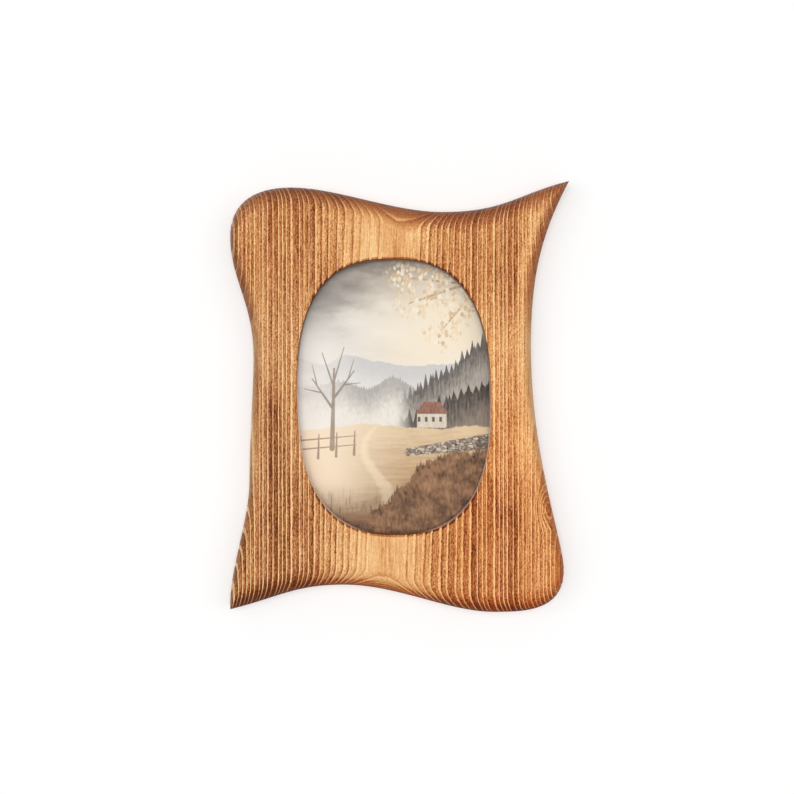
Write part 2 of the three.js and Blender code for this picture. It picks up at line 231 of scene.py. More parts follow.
def paint(red, green, blue):
    """A colour as the eye reads it, 0 to 255, made into light for a socket."""
    shares = [v / 255 for v in (red, green, blue)]
    return tuple(s / 12.92 if s <= 0.04045 else ((s + 0.055) / 1.055) ** 2.4 for s in shares) + (1.0,)


print("middle grey as light:", round(paint(128, 128, 128)[0], 3))

# %% [markdown]
# ## Outline of the plank
# The sawn edge is a chain of smooth curves between stations: the waists of the four sides, the two
# tips and both ends of the round corners. Each station has its place, the headings at which the edge
# comes in and goes out, and how firmly these steer the curve. They are the same values as in the
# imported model. Points are set close together where the edge crosses the grain, because there every
# growth ring needs several of them, and further apart where it runs along the grain.

# %% Stations and the points between them
# x and z in mm from the oval's middle, headings in degrees, holds as shares of the way to a neighbour
STATIONS = [
    {"name": "top waist", "at": (24.5, 92.4), "heading": (0, 0), "hold": (0.33, 0.48)},
    {"name": "upper tip", "at": (87.6, 107.9), "heading": (13.5, 242), "hold": (0.4, 0.38)},
    {"name": "right waist", "at": (68.5, 25), "heading": (270, 270), "hold": (0.38, 0.5)},
    {"name": "lower round side", "at": (84.8, -86.5), "heading": (270, 270), "hold": (0.14, 0.51)},
    {"name": "lower round end", "at": (50, -107.5), "heading": (180, 180), "hold": (0.38, 0.3)},
    {"name": "bottom waist", "at": (-25, -93.9), "heading": (180, 180), "hold": (0.35, 0.42)},
    {"name": "lower tip", "at": (-81.8, -106.2), "heading": (194, 92), "hold": (0.44, 0.31)},
    {"name": "left run", "at": (-72.2, -41.5), "heading": (90, 90), "hold": (0.31, 0.36)},
    {"name": "left waist", "at": (-70.2, 20), "heading": (90, 90), "hold": (0.29, 0.44)},
    {"name": "upper round side", "at": (-81.8, 80), "heading": (90, 90), "hold": (0.35, 0.42)},
    {"name": "upper round end", "at": (-51.5, 104.6), "heading": (0, 0), "hold": (0.49, 0.3)},
]
STEP_ACROSS_GRAIN = 0.42
STEP_ALONG_GRAIN = 1.3
CURVE_SAMPLES = 400


def heading(degrees, length):
    return length * np.array([math.cos(math.radians(degrees)), math.sin(math.radians(degrees))])


def stretch(start, end):
    """Points from one station up to the next, closest where the edge crosses the grain."""
    first, last = np.array(start["at"]), np.array(end["at"])
    span = np.linalg.norm(last - first)
    leaving = first + heading(start["heading"][1], start["hold"][1] * span)
    arriving = last - heading(end["heading"][0], end["hold"][0] * span)
    t = np.linspace(0, 1, CURVE_SAMPLES)[:, None]
    curve = (1 - t) ** 3 * first + 3 * (1 - t) ** 2 * t * leaving
    curve = curve + 3 * (1 - t) * t**2 * arriving + t**3 * last
    steps = np.diff(curve, axis=0) / (STEP_ACROSS_GRAIN, STEP_ALONG_GRAIN)
    walked = np.concatenate([[0], np.cumsum(np.linalg.norm(steps, axis=1))])
    stops = np.linspace(0, walked[-1], math.ceil(walked[-1]) + 1)[:-1]
    return np.stack([np.interp(stops, walked, curve[:, axis]) for axis in (0, 1)], axis=1)


following = STATIONS[1:] + STATIONS[:1]
outline = np.concatenate([stretch(a, b) for a, b in zip(STATIONS, following)])
packed = [np.array([corner[0], corner[2] - OVAL_MIDDLE.z]) / MM for corner in cad_box]
outline = np.clip(outline, *packed)
print("outline points:", len(outline), "width and height in mm:", np.ptp(outline, axis=0).round(1))

# %% [markdown]
# ## Oval and rounding
# The opening is a slightly squared ellipse that leans a little. Each outline point gets one point on
# its edge, and a straight line between the two carries the mesh across the rail.
#
# The front face falls away to the outline in a quarter ellipse, 11 mm deep: wide at the top and bottom
# ends, where the maker brushed away the end grain, and narrow at the sides. How far a point has come
# across this rounding is called its inset: 0 on the outline and 1 where the flat front begins.

# %% Oval points and insets
OVAL_HALF = np.array([47.9, 68.1])
OVAL_SQUARENESS = 2.6
OVAL_LEAN = -0.018
SIDE_ROUND_REACH = 5.5
END_ROUND_REACH = 10
EDGES_APART = 3
TRIES_ACROSS = 41


def oval_towards(points, margin=0.0):
    """Points of the oval's edge towards other points, pushed out by a margin."""
    scaled = points / OVAL_HALF
    angle = np.arctan2(scaled[:, 1], scaled[:, 0])
    turn = np.stack([np.cos(angle), np.sin(angle)], axis=1)
    edge = (OVAL_HALF + margin) * np.sign(turn) * np.abs(turn) ** (2 / OVAL_SQUARENESS)
    return edge + edge[:, 1:] * (OVAL_LEAN, 0)


tip_places = [station["at"] for station in STATIONS if "tip" in station["name"]]
tips = [i for i, point in enumerate(outline) if any(np.allclose(point, tip) for tip in tip_places)]
corner_set = sorted(set(range(0, len(outline), EDGES_APART)) | set(tips))
edge_starts = outline[corner_set]
edge_runs = np.roll(edge_starts, -1, axis=0) - edge_starts
edge_end_grain = (edge_runs[:, 0] / np.linalg.norm(edge_runs, axis=1)) ** 2
edge_reach = SIDE_ROUND_REACH + (END_ROUND_REACH - SIDE_ROUND_REACH) * edge_end_grain


def insets(points, reaches):
    """For each point, its least distance to an edge in reaches, and how much that edge is end grain."""
    nearest = np.full(len(points), np.inf)
    end_grain = np.zeros(len(points))
    for start, run, reach, cross in zip(edge_starts, edge_runs, reaches, edge_end_grain):
        offset = points - start
        share = np.clip(offset @ run / (run @ run), 0, 1)
        gap = np.linalg.norm(offset - share[:, None] * run, axis=1) / reach
        closer = gap < nearest
        nearest[closer] = gap[closer]
        end_grain[closer] = cross
    return nearest, end_grain


def share_of_way(target, reaches):
    """How far along its line to the oval each outline point meets an inset."""
    tries = np.linspace(0, 1, TRIES_ACROSS)
    rows = [insets(outline + t * (oval - outline), reaches)[0] for t in tries]
    table = np.maximum.accumulate(np.array(rows), axis=0)
    return np.array([np.interp(target, table[:, i], tries) for i in range(len(outline))])


oval = oval_towards(outline)
flat_from = share_of_way(1, edge_reach)
print("the flat front begins this far from the outline, in mm:")
reach_seen = flat_from * np.linalg.norm(oval - outline, axis=1)
print("  least", reach_seen.min().round(1), "most", reach_seen.max().round(1))

# %% [markdown]
# ## Mesh of the plank
# Rings of points run round the frame: up the oval's wall, out across the front, over the rounding, down
# the sawn edge and over a small arris to the back. Faces join ring to ring. The flat back and the floor
# of the rebate have holes of other shapes in them, so those two are filled by Delaunay triangulation,
# which keeps the given edges. Each point remembers its inset, how much it is end grain, and whether the
# brush reached it, because the grain and the finish need that later.

# %% Sizes and tools for the rings
ROUND_RINGS = 16
FLAT_RINGS = 36
EDGE_RINGS = 4
WALL_RINGS = 5
BACK_ARRIS = 1.5
OVAL_ARRIS = 0.35
LIP_THICKNESS = 12
THICKNESS = BOARD_THICKNESS / MM
REBATE_HALF = np.array([52.0, 77.0])
REBATE_FLOOR = LIP_THICKNESS - THICKNESS
HOLE_POINTS = 24
FAR_FROM_LIP = 50
SAME_PLACE = 1e-6
REBATE_STEP = 4
PIVOTS = [(x, z) for z in (45, -45) for x in (-60, 60)]
NAIL_PLACES = [(x, 84.7) for x in (-18, 18)]
SCREW_HOLE = {"radius": 1.75, "depth": 12.5}
NAIL_HOLE = {"radius": 0.95, "depth": 10.5}

plank = {"points": [], "faces": []}
marks = {"inset": [], "end_grain": [], "brushed": [], "opening": [], "to_lip": []}


def add_ring(flat, depth, inset=1.0, end_grain=0.0, brushed=0.0, opening=0.0, to_lip=FAR_FROM_LIP):
    """Adds a closed ring of points at local depths and returns their numbers."""
    first = len(plank["points"])
    count = len(flat)
    depths = np.broadcast_to(depth, count)
    plank["points"].extend((x, y, z) for (x, z), y in zip(flat, depths))
    for name, value in zip(marks, (inset, end_grain, brushed, opening, to_lip)):
        marks[name].extend(np.broadcast_to(value, count))
    return list(range(first, first + count))


def join_rings(inner, outer):
    for i, (a, b) in enumerate(zip(inner, outer)):
        j = (i + 1) % len(inner)
        plank["faces"].append((a, b, outer[j], inner[j]))


def loop_edges(loops):
    """Edges round closed loops whose points are numbered on from one loop to the next."""
    edges, start = [], 0
    for loop in loops:
        edges += [(start + i, start + (i + 1) % len(loop)) for i in range(len(loop))]
        start += len(loop)
    return edges


def fill_between(*rings):
    """Flat faces inside the first ring and outside the others."""
    numbers = [n for ring in rings for n in ring]
    flat = [Vector((plank["points"][n][0], plank["points"][n][2])) for n in numbers]
    hole_sets = [set(ring) for ring in rings[1:]]
    for face in delaunay_2d_cdt(flat, loop_edges(rings), [], 2, SAME_PLACE)[2]:
        corners = [numbers[i] for i in face]
        if not any(set(corners) <= hole for hole in hole_sets):
            plank["faces"].append(tuple(corners))


print("pilot holes:", len(PIVOTS) + len(NAIL_PLACES))


# %% Rings of the front, the wall and the edge
def surface_ring(share):
    """A ring of the front at a share of the way from the outline to the oval's arris."""
    flat = outline + share[:, None] * (lip - outline)
    inset, end_grain = insets(flat, edge_reach)
    fall = 1 - np.sqrt(1 - (1 - np.minimum(inset, 1)) ** 2)
    to_lip = np.linalg.norm(lip - flat, axis=1)
    return add_ring(flat, fall * ROUND_DROP / MM - THICKNESS, inset, end_grain, 1.0, 0.0, to_lip)


lip = oval_towards(outline, OVAL_ARRIS)
turns = np.linspace(0, math.pi / 2, ROUND_RINGS + 1)
shares = [flat_from * (1 - math.cos(turn)) for turn in turns]
shares += [flat_from + (1 - flat_from) * step / FLAT_RINGS for step in range(1, FLAT_RINGS + 1)]
front_rings = [surface_ring(share) for share in shares]

oval_depths = np.linspace(-THICKNESS + OVAL_ARRIS, REBATE_FLOOR, WALL_RINGS)
wall_rings = [add_ring(oval, depth, opening=1.0, to_lip=0.0) for depth in oval_depths]

edge_grain = insets(outline, edge_reach)[1]
edge_depths = np.linspace(ROUND_DROP / MM - THICKNESS, -BACK_ARRIS, EDGE_RINGS + 1)[1:]
edge_rings = [add_ring(outline, depth, 0.0, edge_grain, 0.5) for depth in edge_depths]
arris_share = share_of_way(BACK_ARRIS, np.ones(len(edge_reach)))
back_ring = add_ring(outline + arris_share[:, None] * (oval - outline), 0.0, 0.2, edge_grain)

chain = wall_rings[::-1] + front_rings[::-1] + edge_rings + [back_ring]
for inner, outer in zip(chain, chain[1:]):
    join_rings(inner, outer)
crisp_rings = [front_rings[-1], wall_rings[0], wall_rings[-1], edge_rings[-1], back_ring]
print("rings of", len(outline), "points:", len(chain))


# %% Flat back with the rebate and the holes
def rectangle(half, step):
    """Points round a rectangle, with its corners."""
    corners = [np.array([sx, sz]) * half for sx, sz in ((-1, -1), (1, -1), (1, 1), (-1, 1))]
    sides = []
    for a, b in zip(corners, corners[1:] + corners[:1]):
        count = math.ceil(np.linalg.norm(b - a) / step)
        sides += [a + (b - a) * i / count for i in range(count)]
    return np.array(sides)


def circle(middle, radius, count):
    turn = np.linspace(0, 2 * math.pi, count, endpoint=False)
    return np.array(middle) + radius * np.stack([np.cos(turn), np.sin(turn)], axis=1)


rebate = rectangle(REBATE_HALF, REBATE_STEP)
rebate_mouth = add_ring(rebate, 0.0)
rebate_foot = add_ring(rebate, REBATE_FLOOR)
join_rings(rebate_mouth, rebate_foot)
fill_between(rebate_foot, wall_rings[-1])

mouths = []
for places, hole in ((PIVOTS, SCREW_HOLE), (NAIL_PLACES, NAIL_HOLE)):
    for place in places:
        ring = circle(place, hole["radius"], HOLE_POINTS)
        mouths.append(add_ring(ring, 0.0))
        foot = add_ring(ring, -hole["depth"])
        join_rings(mouths[-1], foot)
        plank["faces"].append(tuple(foot))
        crisp_rings += [mouths[-1], foot]
fill_between(back_ring, rebate_mouth, *mouths)
crisp_rings += [rebate_mouth, rebate_foot]
print("plank points:", len(plank["points"]))


# %% Plank as one closed mesh
MERGE_WITHIN = 1e-7


def new_piece(name, mesh):
    """A new object at the origin, in the scene."""
    piece = bpy.data.objects.new(name, mesh)
    bpy.context.scene.collection.objects.link(piece)
    return piece


def face_outwards(mesh):
    work = bmesh.new()
    work.from_mesh(mesh)
    bmesh.ops.remove_doubles(work, verts=work.verts, dist=MERGE_WITHIN)
    bmesh.ops.recalc_face_normals(work, faces=work.faces)
    open_edges = sum(not edge.is_manifold for edge in work.edges)
    work.to_mesh(mesh)
    work.free()
    return open_edges


plank_mesh = bpy.data.meshes.new("plank")
to_place = np.array([0, BACK_Y, OVAL_MIDDLE.z])
plank_mesh.from_pydata((np.array(plank["points"]) * MM + to_place).tolist(), [], plank["faces"])
for name, values in marks.items():
    layer = plank_mesh.attributes.new(name, "FLOAT", "POINT")
    layer.data.foreach_set("value", np.array(values, dtype=np.float32))
plank_open = face_outwards(plank_mesh)
plank_mesh.shade_smooth()
ring_of = np.full(len(plank_mesh.vertices), -1)
for number, ring in enumerate(crisp_rings):
    ring_of[ring] = number
ends = np.zeros(2 * len(plank_mesh.edges), dtype=np.int32)
plank_mesh.edges.foreach_get("vertices", ends)
ends = ring_of[ends.reshape(-1, 2)]
crisp = (ends[:, 0] >= 0) & (ends[:, 0] == ends[:, 1])
plank_mesh.edges.foreach_set("use_edge_sharp", crisp)
plank_piece = new_piece("pine_plank", plank_mesh)
print("plank faces:", len(plank_mesh.polygons), "open edges:", plank_open)

# %% [markdown]
# ## Growth rings, brushed
# A tree lays down a ring each year, so in the plank the rings are nested cylinders round the pith, here
# a line behind the middle of the board. Every stripe of the front is where such a cylinder meets the
# surface: close lines at the sides, a wide band over the pith, and lines that swing outwards where the
# rounded ends drop. The tree grew slowly at first and again when it was old, so its rings crowd near the
# pith and far from it. The pith leans, and later rings straighten. At the lower right side they flow
# round a small knot. One rule gives all of that, so Geometry Nodes apply it to the whole plank.
#
# The tree stores the ring number of every point for the finish, and presses the soft early wood of each
# ring in, as the wire brush does. It only presses in, so the plank keeps its size.


# %% Tools for Geometry Nodes
def shaping_tree(name, inputs):
    """A Geometry Nodes tree with named inputs: returns it, its inputs as wires, and their identifiers."""
    tree = bpy.data.node_groups.new(name, "GeometryNodeTree")
    tree.interface.new_socket("Geometry", in_out="INPUT", socket_type="NodeSocketGeometry")
    tree.interface.new_socket("Geometry", in_out="OUTPUT", socket_type="NodeSocketGeometry")
    keys = {}
    for label, kind in inputs.items():
        keys[label] = tree.interface.new_socket(label, in_out="INPUT", socket_type=kind).identifier
    entry = tree.nodes.new("NodeGroupInput")
    wires = {socket.name: Wire(tree, socket) for socket in entry.outputs if socket.name}
    return tree, wires, keys


def end_tree(tree, geometry, material):
    """Realize Instances and Set Material, as the last nodes of a tree."""
    real = Wire.node(tree, "GeometryNodeRealizeInstances", None, {0: geometry})
    dressed = Wire.node(tree, "GeometryNodeSetMaterial", None, {"Geometry": real, "Material": material})
    Wire.node(tree, "NodeGroupOutput", None, {0: dressed})


def shape_with(piece, tree, keys, values):
    """Runs a tree on a piece and keeps the result as the piece's own plain mesh."""
    modifier = piece.modifiers.new(tree.name, "NODES")
    modifier.node_group = tree
    for label, value in values.items():
        modifier[keys[label]] = value
    graph = bpy.context.evaluated_depsgraph_get()
    result = piece.evaluated_get(graph)
    plain = bpy.data.meshes.new_from_object(result, preserve_all_data_layers=True, depsgraph=graph)
    piece.modifiers.clear()
    piece.data = plain
    return plain


def named(tree, name):
    return Wire.node(tree, "GeometryNodeInputNamedAttribute", {"data_type": "FLOAT"}, {"Name": name})


print("tree tools ready")

# %% A tree for growth rings
RING_RULE = {
    "Outer crowding": 0.0032,
    "Inner crowding": 220.0,
    "Pith across": -0.5,
    "Pith behind": 25.0,
    "Pith lean": 0.045,
    "First ring": 1.9,
    "Knot across": 75.5,
    "Knot up": -55.0,
    "Knot rings": 2.6,
    "Unevenness": 0.85,
    "Wander": 0.45,
    "Groove depth": 0.18,
    "Seed": 3.0,
}
KNOT_HALF = {"across": 7, "behind": 9, "up": 13}
KNOT_FADES_FROM = 8
UNEVEN_OVER = 5
ring_inputs = {**dict.fromkeys(RING_RULE, "NodeSocketFloat"), "Wood": "NodeSocketMaterial"}
ring_tree, rule, ring_keys = shaping_tree("brushed growth rings", ring_inputs)
place = Wire.node(ring_tree, "GeometryNodeInputPosition")
middle = {0: place, 1: (0, FRONT_Y, OVAL_MIDDLE.z)}
moved = Wire.node(ring_tree, "ShaderNodeVectorMath", {"operation": "SUBTRACT"}, middle)
local = moved.stretched(1 / MM, 1 / MM, 1 / MM)
across, behind, up = local.parts()

straightened = abs(across).rise(10, 45)
aside = across - rule["Pith across"] - rule["Pith lean"] * up * (1 - straightened)
below = rule["Pith behind"] - behind
radius = (aside * aside + below * below).root()
slow = noise(local.stretched(1 / 16, 1 / 16, 1 / 110), detail=1) - 0.5
quick = noise(local.stretched(1 / 3, 1 / 3, 1 / 16), detail=2) - 0.5
bent = radius + rule["Wander"] * (2 * slow + quick)
ring = rule["First ring"] + rule["Outer crowding"] * bent * bent - rule["Inner crowding"] / bent
ring = ring + rule["Unevenness"] * (noise_along(bent / UNEVEN_OVER + rule["Seed"]) - 0.5)
knot_x = (across - rule["Knot across"]) / KNOT_HALF["across"]
knot_y = (behind - KNOT_FADES_FROM).at_least(0) / KNOT_HALF["behind"]
knot_z = (up - rule["Knot up"]) / KNOT_HALF["up"]
from_knot = (knot_x * knot_x + knot_y * knot_y + knot_z * knot_z).root()
ring = ring + rule["Knot rings"] * (1 - from_knot.rise(0.0, 1.0))
print("ring rule inputs:", len(RING_RULE))

# %% Grooves of the wire brush
soft_wood = 1 - ring.fraction().rise(0.6, 0.85)
year = dice(math.floor(ring))
reached = named(ring_tree, "brushed") * named(ring_tree, "inset").rise(0.0, 0.2)
groove = rule["Groove depth"] * soft_wood * (0.55 + 0.45 * year) * reached
marked = Wire.node(
    ring_tree,
    "GeometryNodeStoreNamedAttribute",
    {"data_type": "FLOAT", "domain": "POINT"},
    {"Geometry": rule["Geometry"], "Name": "ring", "Value": ring},
)
inwards = {0: Wire.node(ring_tree, "GeometryNodeInputNormal"), "Scale": groove * -MM}
pressed = Wire.node(ring_tree, "ShaderNodeVectorMath", {"operation": "SCALE"}, inwards)
offset = {"Geometry": marked, "Offset": pressed}
end_tree(ring_tree, Wire.node(ring_tree, "GeometryNodeSetPosition", None, offset), rule["Wood"])
print("growth ring tree nodes:", len(ring_tree.nodes))

# %% [markdown]
# ## Scorched and brushed pine
# The flame darkens soft early wood most. Brushing then bares the hard late wood, so every year shows a
# dark band that lightens outwards and ends in a narrow pale line. Over the pith the band is wide and
# honey coloured. The finish is built as one number, the tone, from 0 for burnt wood to 1 for bare pale
# wood, and is made into colours last, so that each cause can have a line of its own.
#
# Noise stretched along the grain gives fibres and hairs, and rounder noise gives specks and pits. Masks
# from 0 to 1 say where on the plank a thing happens: over the pith, at the sides, above or below.


# %% Tools for finishes
def start_finish(name):
    """A new material with its tree and its main shader."""
    material = bpy.data.materials.new(name)
    material.use_nodes = True
    tree = material.node_tree
    return material, tree, tree.nodes["Principled BSDF"]


def set_sockets(shader, values):
    """Constants are set on the shader's own sockets, and wires are linked to them."""
    for name, value in values.items():
        if isinstance(value, Wire):
            value.tree.links.new(value.socket, shader.inputs[name])
        else:
            shader.inputs[name].default_value = value


def in_mm(tree):
    """Where a point of the piece is, in mm."""
    place = Wire.node(tree, "ShaderNodeTexCoord", out="Object")
    return place.stretched(1 / MM, 1 / MM, 1 / MM)


def carried(tree, name):
    return Wire.node(tree, "ShaderNodeAttribute", {"attribute_name": name}, out="Fac")


def bump(height, strength, distance):
    sockets = {"Height": height, "Strength": strength, "Distance": distance}
    return Wire.node(height.tree, "ShaderNodeBump", None, sockets)


def ramp(share, colours, places=None):
    """A colour that goes through colours, evenly unless places are given, as share goes from 0 to 1."""
    places = places or [i / (len(colours) - 1) for i in range(len(colours))]
    stops = [(place, paint(*colour)) for place, colour in zip(places, colours)]
    return Wire.node(share.tree, "ShaderNodeValToRGB", {"stops": stops}, {0: share})


def near(value, middle, inside, outside):
    """1 close to a middle and 0 far from it."""
    return 1 - abs(value - middle).rise(inside, outside)


print("finish tools ready")

# %% Pine: fibres and places
pine, tree, shader = start_finish("brushed_pine")
local = in_mm(tree)
across, _, height = local.parts()
up = height - OVAL_MIDDLE.z / MM
fibre = noise(local.stretched(1.5, 1.5, 0.07), detail=2, roughness=0.6) - 0.5
hair = noise(local.stretched(3.2, 3.2, 0.16), detail=2, roughness=0.6) - 0.5
grain = noise(local.stretched(1.1, 1.1, 0.52), detail=2, roughness=0.65) - 0.5
pits = noise(local.stretched(2.2, 2.2, 1.0), detail=1) - 0.5
cloud = noise(local.stretched(1 / 18, 1 / 18, 1 / 50), detail=2) - 0.5
inset, end_grain, brushed, opening, to_lip = (carried(tree, name) for name in marks)

heart = near(across, -10, 12, 50)
calm = near(across, -4, 8, 26)
sapwood = 1 - near(across, -1, 58, 70)
left = 1 - across.rise(-70, 40)
right = 1 - left
upper = up.rise(-30, 30)
lower = 1 - upper
off_middle = abs(up).rise(25, 60)
far_off_middle = abs(up).rise(25, 75)
on_front = (brushed * 2 - 1).at_least(0)
# The front of the right rail at middle height: made lighter, and burnt less at its side edge.
right_rail_middle = across.rise(40, 62) * (1 - off_middle) * on_front
cross_cut = end_grain.rise(0.1, 0.55)
print("marks that the finish reads:", ", ".join(marks))

# %% [markdown]
# ### Early and late wood
# The fraction of the ring number runs from 0 to 1 within each year. Soft early wood fills most of it and
# lightens outwards, and the hard late wood is a line near its end. Dice give every year its own darkness.
# Over the pith the wood is pale and calm, so the contrast between the two is taken back there.

# %% Pine: early and late wood
ring = carried(tree, "ring")
phase = (ring + 0.22 * grain + 0.2 * fibre).fraction()
year = dice(math.floor(ring))
second_year = dice(math.floor(ring) + 57.5)
late = phase.rise(0.7, 0.79) * (1 - phase.rise(0.96, 1.0)) * (0.75 + 0.25 * second_year)

soft = 0.33 + 0.2 * phase.rise(0.0, 0.3) + 0.16 * (year - 0.5) + 0.2 * right_rail_middle
soft = soft - 0.07 * lower - left * (0.03 + 0.07 * far_off_middle)
soft = soft + heart * (0.43 - 0.03 * upper - 0.15 * year)
soft = soft + sapwood * (0.2 - (0.04 + 0.13 * left) * off_middle) * (0.4 + 0.6 * on_front)
soft = soft - 0.24 * (heart - calm).at_least(0) * (1 - phase.rise(0.1, 0.5))
streaks = 0.5 * cloud + 0.8 * fibre + 0.45 * hair
specks = grain.rise(0.0, 0.12) * (1 - 0.5 * sapwood) * (1 - 0.6 * calm)
soft = soft + streaks * (1 - 0.3 * calm) + (grain + pits - 0.3 * specks) * (1 - 0.7 * calm)
hard = 0.88 + 0.14 * second_year - 0.07 * upper - 0.04 * left + 0.25 * cloud + 0.4 * grain + 0.5 * pits
tone = soft + late * (hard - soft) * (1 - 0.6 * calm)
print("early and late wood in", len(tree.nodes), "nodes")

# %% [markdown]
# ### Burnt ends and painted light on the side edges
# End grain drinks flame and oil, so the rounded top and bottom are darkest. Their dark edge is toothed,
# because it creeps along the soft wood, and at the very edge the wood is charred. The long sides burnt in
# patches, and where they didn't, their rounded edges are lightened with painted light. The back was never
# brushed and stays even.

# %% Pine: burnt ends and painted light on the side edges
creep = 0.4 * (1 - late) - 0.08 + 0.7 * fibre + 0.8 * cloud + 0.25 * (year - 0.5)
end_burn = (1 - (inset - creep).rise(0.15, 0.95)) * cross_cut
end_burn = end_burn * (upper + lower * (0.2 + 0.8 * abs(across).rise(15, 62)))
patch = noise(local.stretched(1 / 40, 1 / 40, 1 / 26), detail=1).rise(0.4, 0.6)
patch = patch.at_least(upper * (1 - 0.4 * left)).at_least(across.rise(68, 80) * (1 - up.rise(-95, -60)))
side_burn = (1 - (inset - 0.7 * creep).rise(0.2, 0.55 + 0.4 * patch)) * (1 - cross_cut)
side_burn = side_burn * (0.5 + 0.6 * patch) * (1 - 0.8 * right_rail_middle) * (1 - 0.85 * left * lower)
burn = end_burn.at_least(side_burn) * (brushed + 0.3).at_most(1.0)
deeper = 0.05 + 0.14 * upper * (1 - 0.5 * left) + 0.28 * left * lower + heart * 0.14 * upper
tone = tone - burn * (deeper + (0.04 + 0.14 * upper) * late)

char_reach = 0.45 - 0.15 * upper - 0.2 * heart * lower
char = (1 - (inset - 0.6 * creep).rise(0.04, char_reach)) * cross_cut * brushed
tone = tone - char * (0.24 - 0.14 * upper - 0.1 * left * lower) * (1 - 0.8 * late)
# Painted light: the rounded long sides, where they are not burnt, are lightened towards the outline.
side_edge_painted_light = (1 - inset.rise(0.0, 0.45)) * (1 - cross_cut) * (1 - burn) * (0.2 + 0.8 * on_front)
tone = tone + (0.27 - 0.12 * left * off_middle) * side_edge_painted_light
plain = (1 - brushed * 2).at_least(0) * (1 - opening)
tone = tone + plain * (0.66 - tone) * 0.45
singe = (1 - (to_lip - 1.5 * creep).rise(0.1, 0.8)) * abs(up).rise(35, 60) * (1 - 0.8 * late)
tone = tone - 0.4 * singe
print("burns and wear in", len(tree.nodes), "nodes")

# %% [markdown]
# ### From tone to colour
# Two ramps read the tone, one redder and one greyer, and the left side takes more of the grey one. Scorch
# and char then tint the ends. Inside the opening the saw left its own surface, and light and shade are
# painted on it: pale painted light on the lower arcs and darker painted shade above, with a dark arris at
# its edge that is painted darker in the shade.

# %% Pine: colours
TONE_PLACES = (0.0, 0.22, 0.45, 0.7, 0.95)
RED_WOOD = [(92, 40, 18), (148, 78, 40), (192, 122, 70), (224, 164, 104), (252, 210, 152)]
GREY_WOOD = [(88, 46, 24), (140, 84, 50), (184, 126, 82), (216, 166, 114), (248, 210, 160)]
red_wood, grey_wood = (ramp(tone, colours, TONE_PLACES) for colours in (RED_WOOD, GREY_WOOD))
wood = blend(left * (0.6 - far_off_middle * (0.2 + 0.3 * upper)), red_wood, grey_wood)
wood = blend(right * lower * (0.6 - 0.5 * heart), wood, paint(255, 232, 214), "MULTIPLY")
scorch = burn * (0.08 + 0.5 * right) * (1 - 0.4 * upper) + 0.7 * char * heart * lower
wood = blend(scorch, wood, paint(232, 156, 84), "MULTIPLY")
wood = blend(burn * upper * 0.25, wood, paint(150, 106, 84))
# A dark line along the outline of the ends: partly a burnt edge and partly painted shade, where the rounding
# turns away from the lamps.
from_edge = inset * (SIDE_ROUND_REACH + (END_ROUND_REACH - SIDE_ROUND_REACH) * end_grain)
rim = (1 - from_edge.rise(0.3, 1.4)) * on_front * cross_cut
wood = blend(rim * 0.6, wood, paint(58, 34, 22))

# Painted light and shade on the oval's sawn wall: a painted shade mask over its upper half and the middles
# of the top and bottom, and pale painted light on the lower side arcs.
painted_shade_mask = up.rise(-10, 30).at_least(1 - abs(across).rise(10, 25))
sawn_wall_painted_light = blend(0.7 + 0.6 * hair, wood, blend(painted_shade_mask, paint(250, 224, 210), paint(92, 62, 46)))
# The arris of the opening is scorched dark, and painted darker still where the shade is painted.
wood = blend(opening.rise(0.0, 0.3) * (0.25 + 0.75 * painted_shade_mask), wood, paint(50, 30, 20))
wood = blend(opening.rise(0.7, 1.0), wood, sawn_wall_painted_light)
set_sockets(
    shader,
    {
        "Base Color": wood,
        "Roughness": 0.6 - late * 0.14 + fibre * 0.3 - opening * 0.2,
        "Specular IOR Level": 0.1,
        "Normal": bump(fibre + hair + grain + pits, 0.5, 0.12 * MM),
    },
)
print("pine finish in", len(tree.nodes), "nodes")

# %% Growth rings on the plank
plank_mesh = shape_with(plank_piece, ring_tree, ring_keys, {**RING_RULE, "Wood": pine})
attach(plank_piece, "frame")
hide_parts("frame_body")
print("plank triangles:", sum(len(polygon.vertices) - 2 for polygon in plank_mesh.polygons))

# %% [markdown]
# ## Glass
# A 2 mm pane of float glass lies in the rebate. Its sawn edges are eased with a stone. Clear glass in
# front of a print is best made of two plain shaders: one lets light straight through, so the print stays
# lit, and one mirrors the room. How much it mirrors grows steeply towards a grazing view. Head-on it is
# set below the 4% of bare glass, because the photograph shows hardly any reflection.


# %% Tools for finished pieces
CRISP_ANGLE = math.radians(40)


def keep(piece, finish, slot, *nodes, body="frame"):
    """Gives a finished piece its material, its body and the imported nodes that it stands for."""
    piece.data.materials.clear()
    piece.data.materials.append(finish)
    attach(piece, body)
    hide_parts(*nodes)
    return piece


def mesh_from(work, name):
    """A finished mesh from a bmesh, smooth with crisp corners."""
    bmesh.ops.recalc_face_normals(work, faces=work.faces)
    mesh = bpy.data.meshes.new(name)
    work.to_mesh(mesh)
    work.free()
    mesh.shade_smooth()
    mesh.set_sharp_from_angle(angle=CRISP_ANGLE)
    return mesh


def slab(name, node, arris, steps):
    """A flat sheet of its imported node's size, with eased edges."""
    low, high = (Vector(corner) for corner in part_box(node))
    work = bmesh.new()
    bmesh.ops.create_cube(work, size=1)
    for vert in work.verts:
        vert.co = Vector(low[i] + (vert.co[i] + 0.5) * (high[i] - low[i]) for i in range(3))
    bmesh.ops.bevel(work, geom=work.edges[:], offset=arris, segments=steps, profile=0.5, affect="EDGES")
    return new_piece(name, mesh_from(work, name))


print("tools for pieces ready")

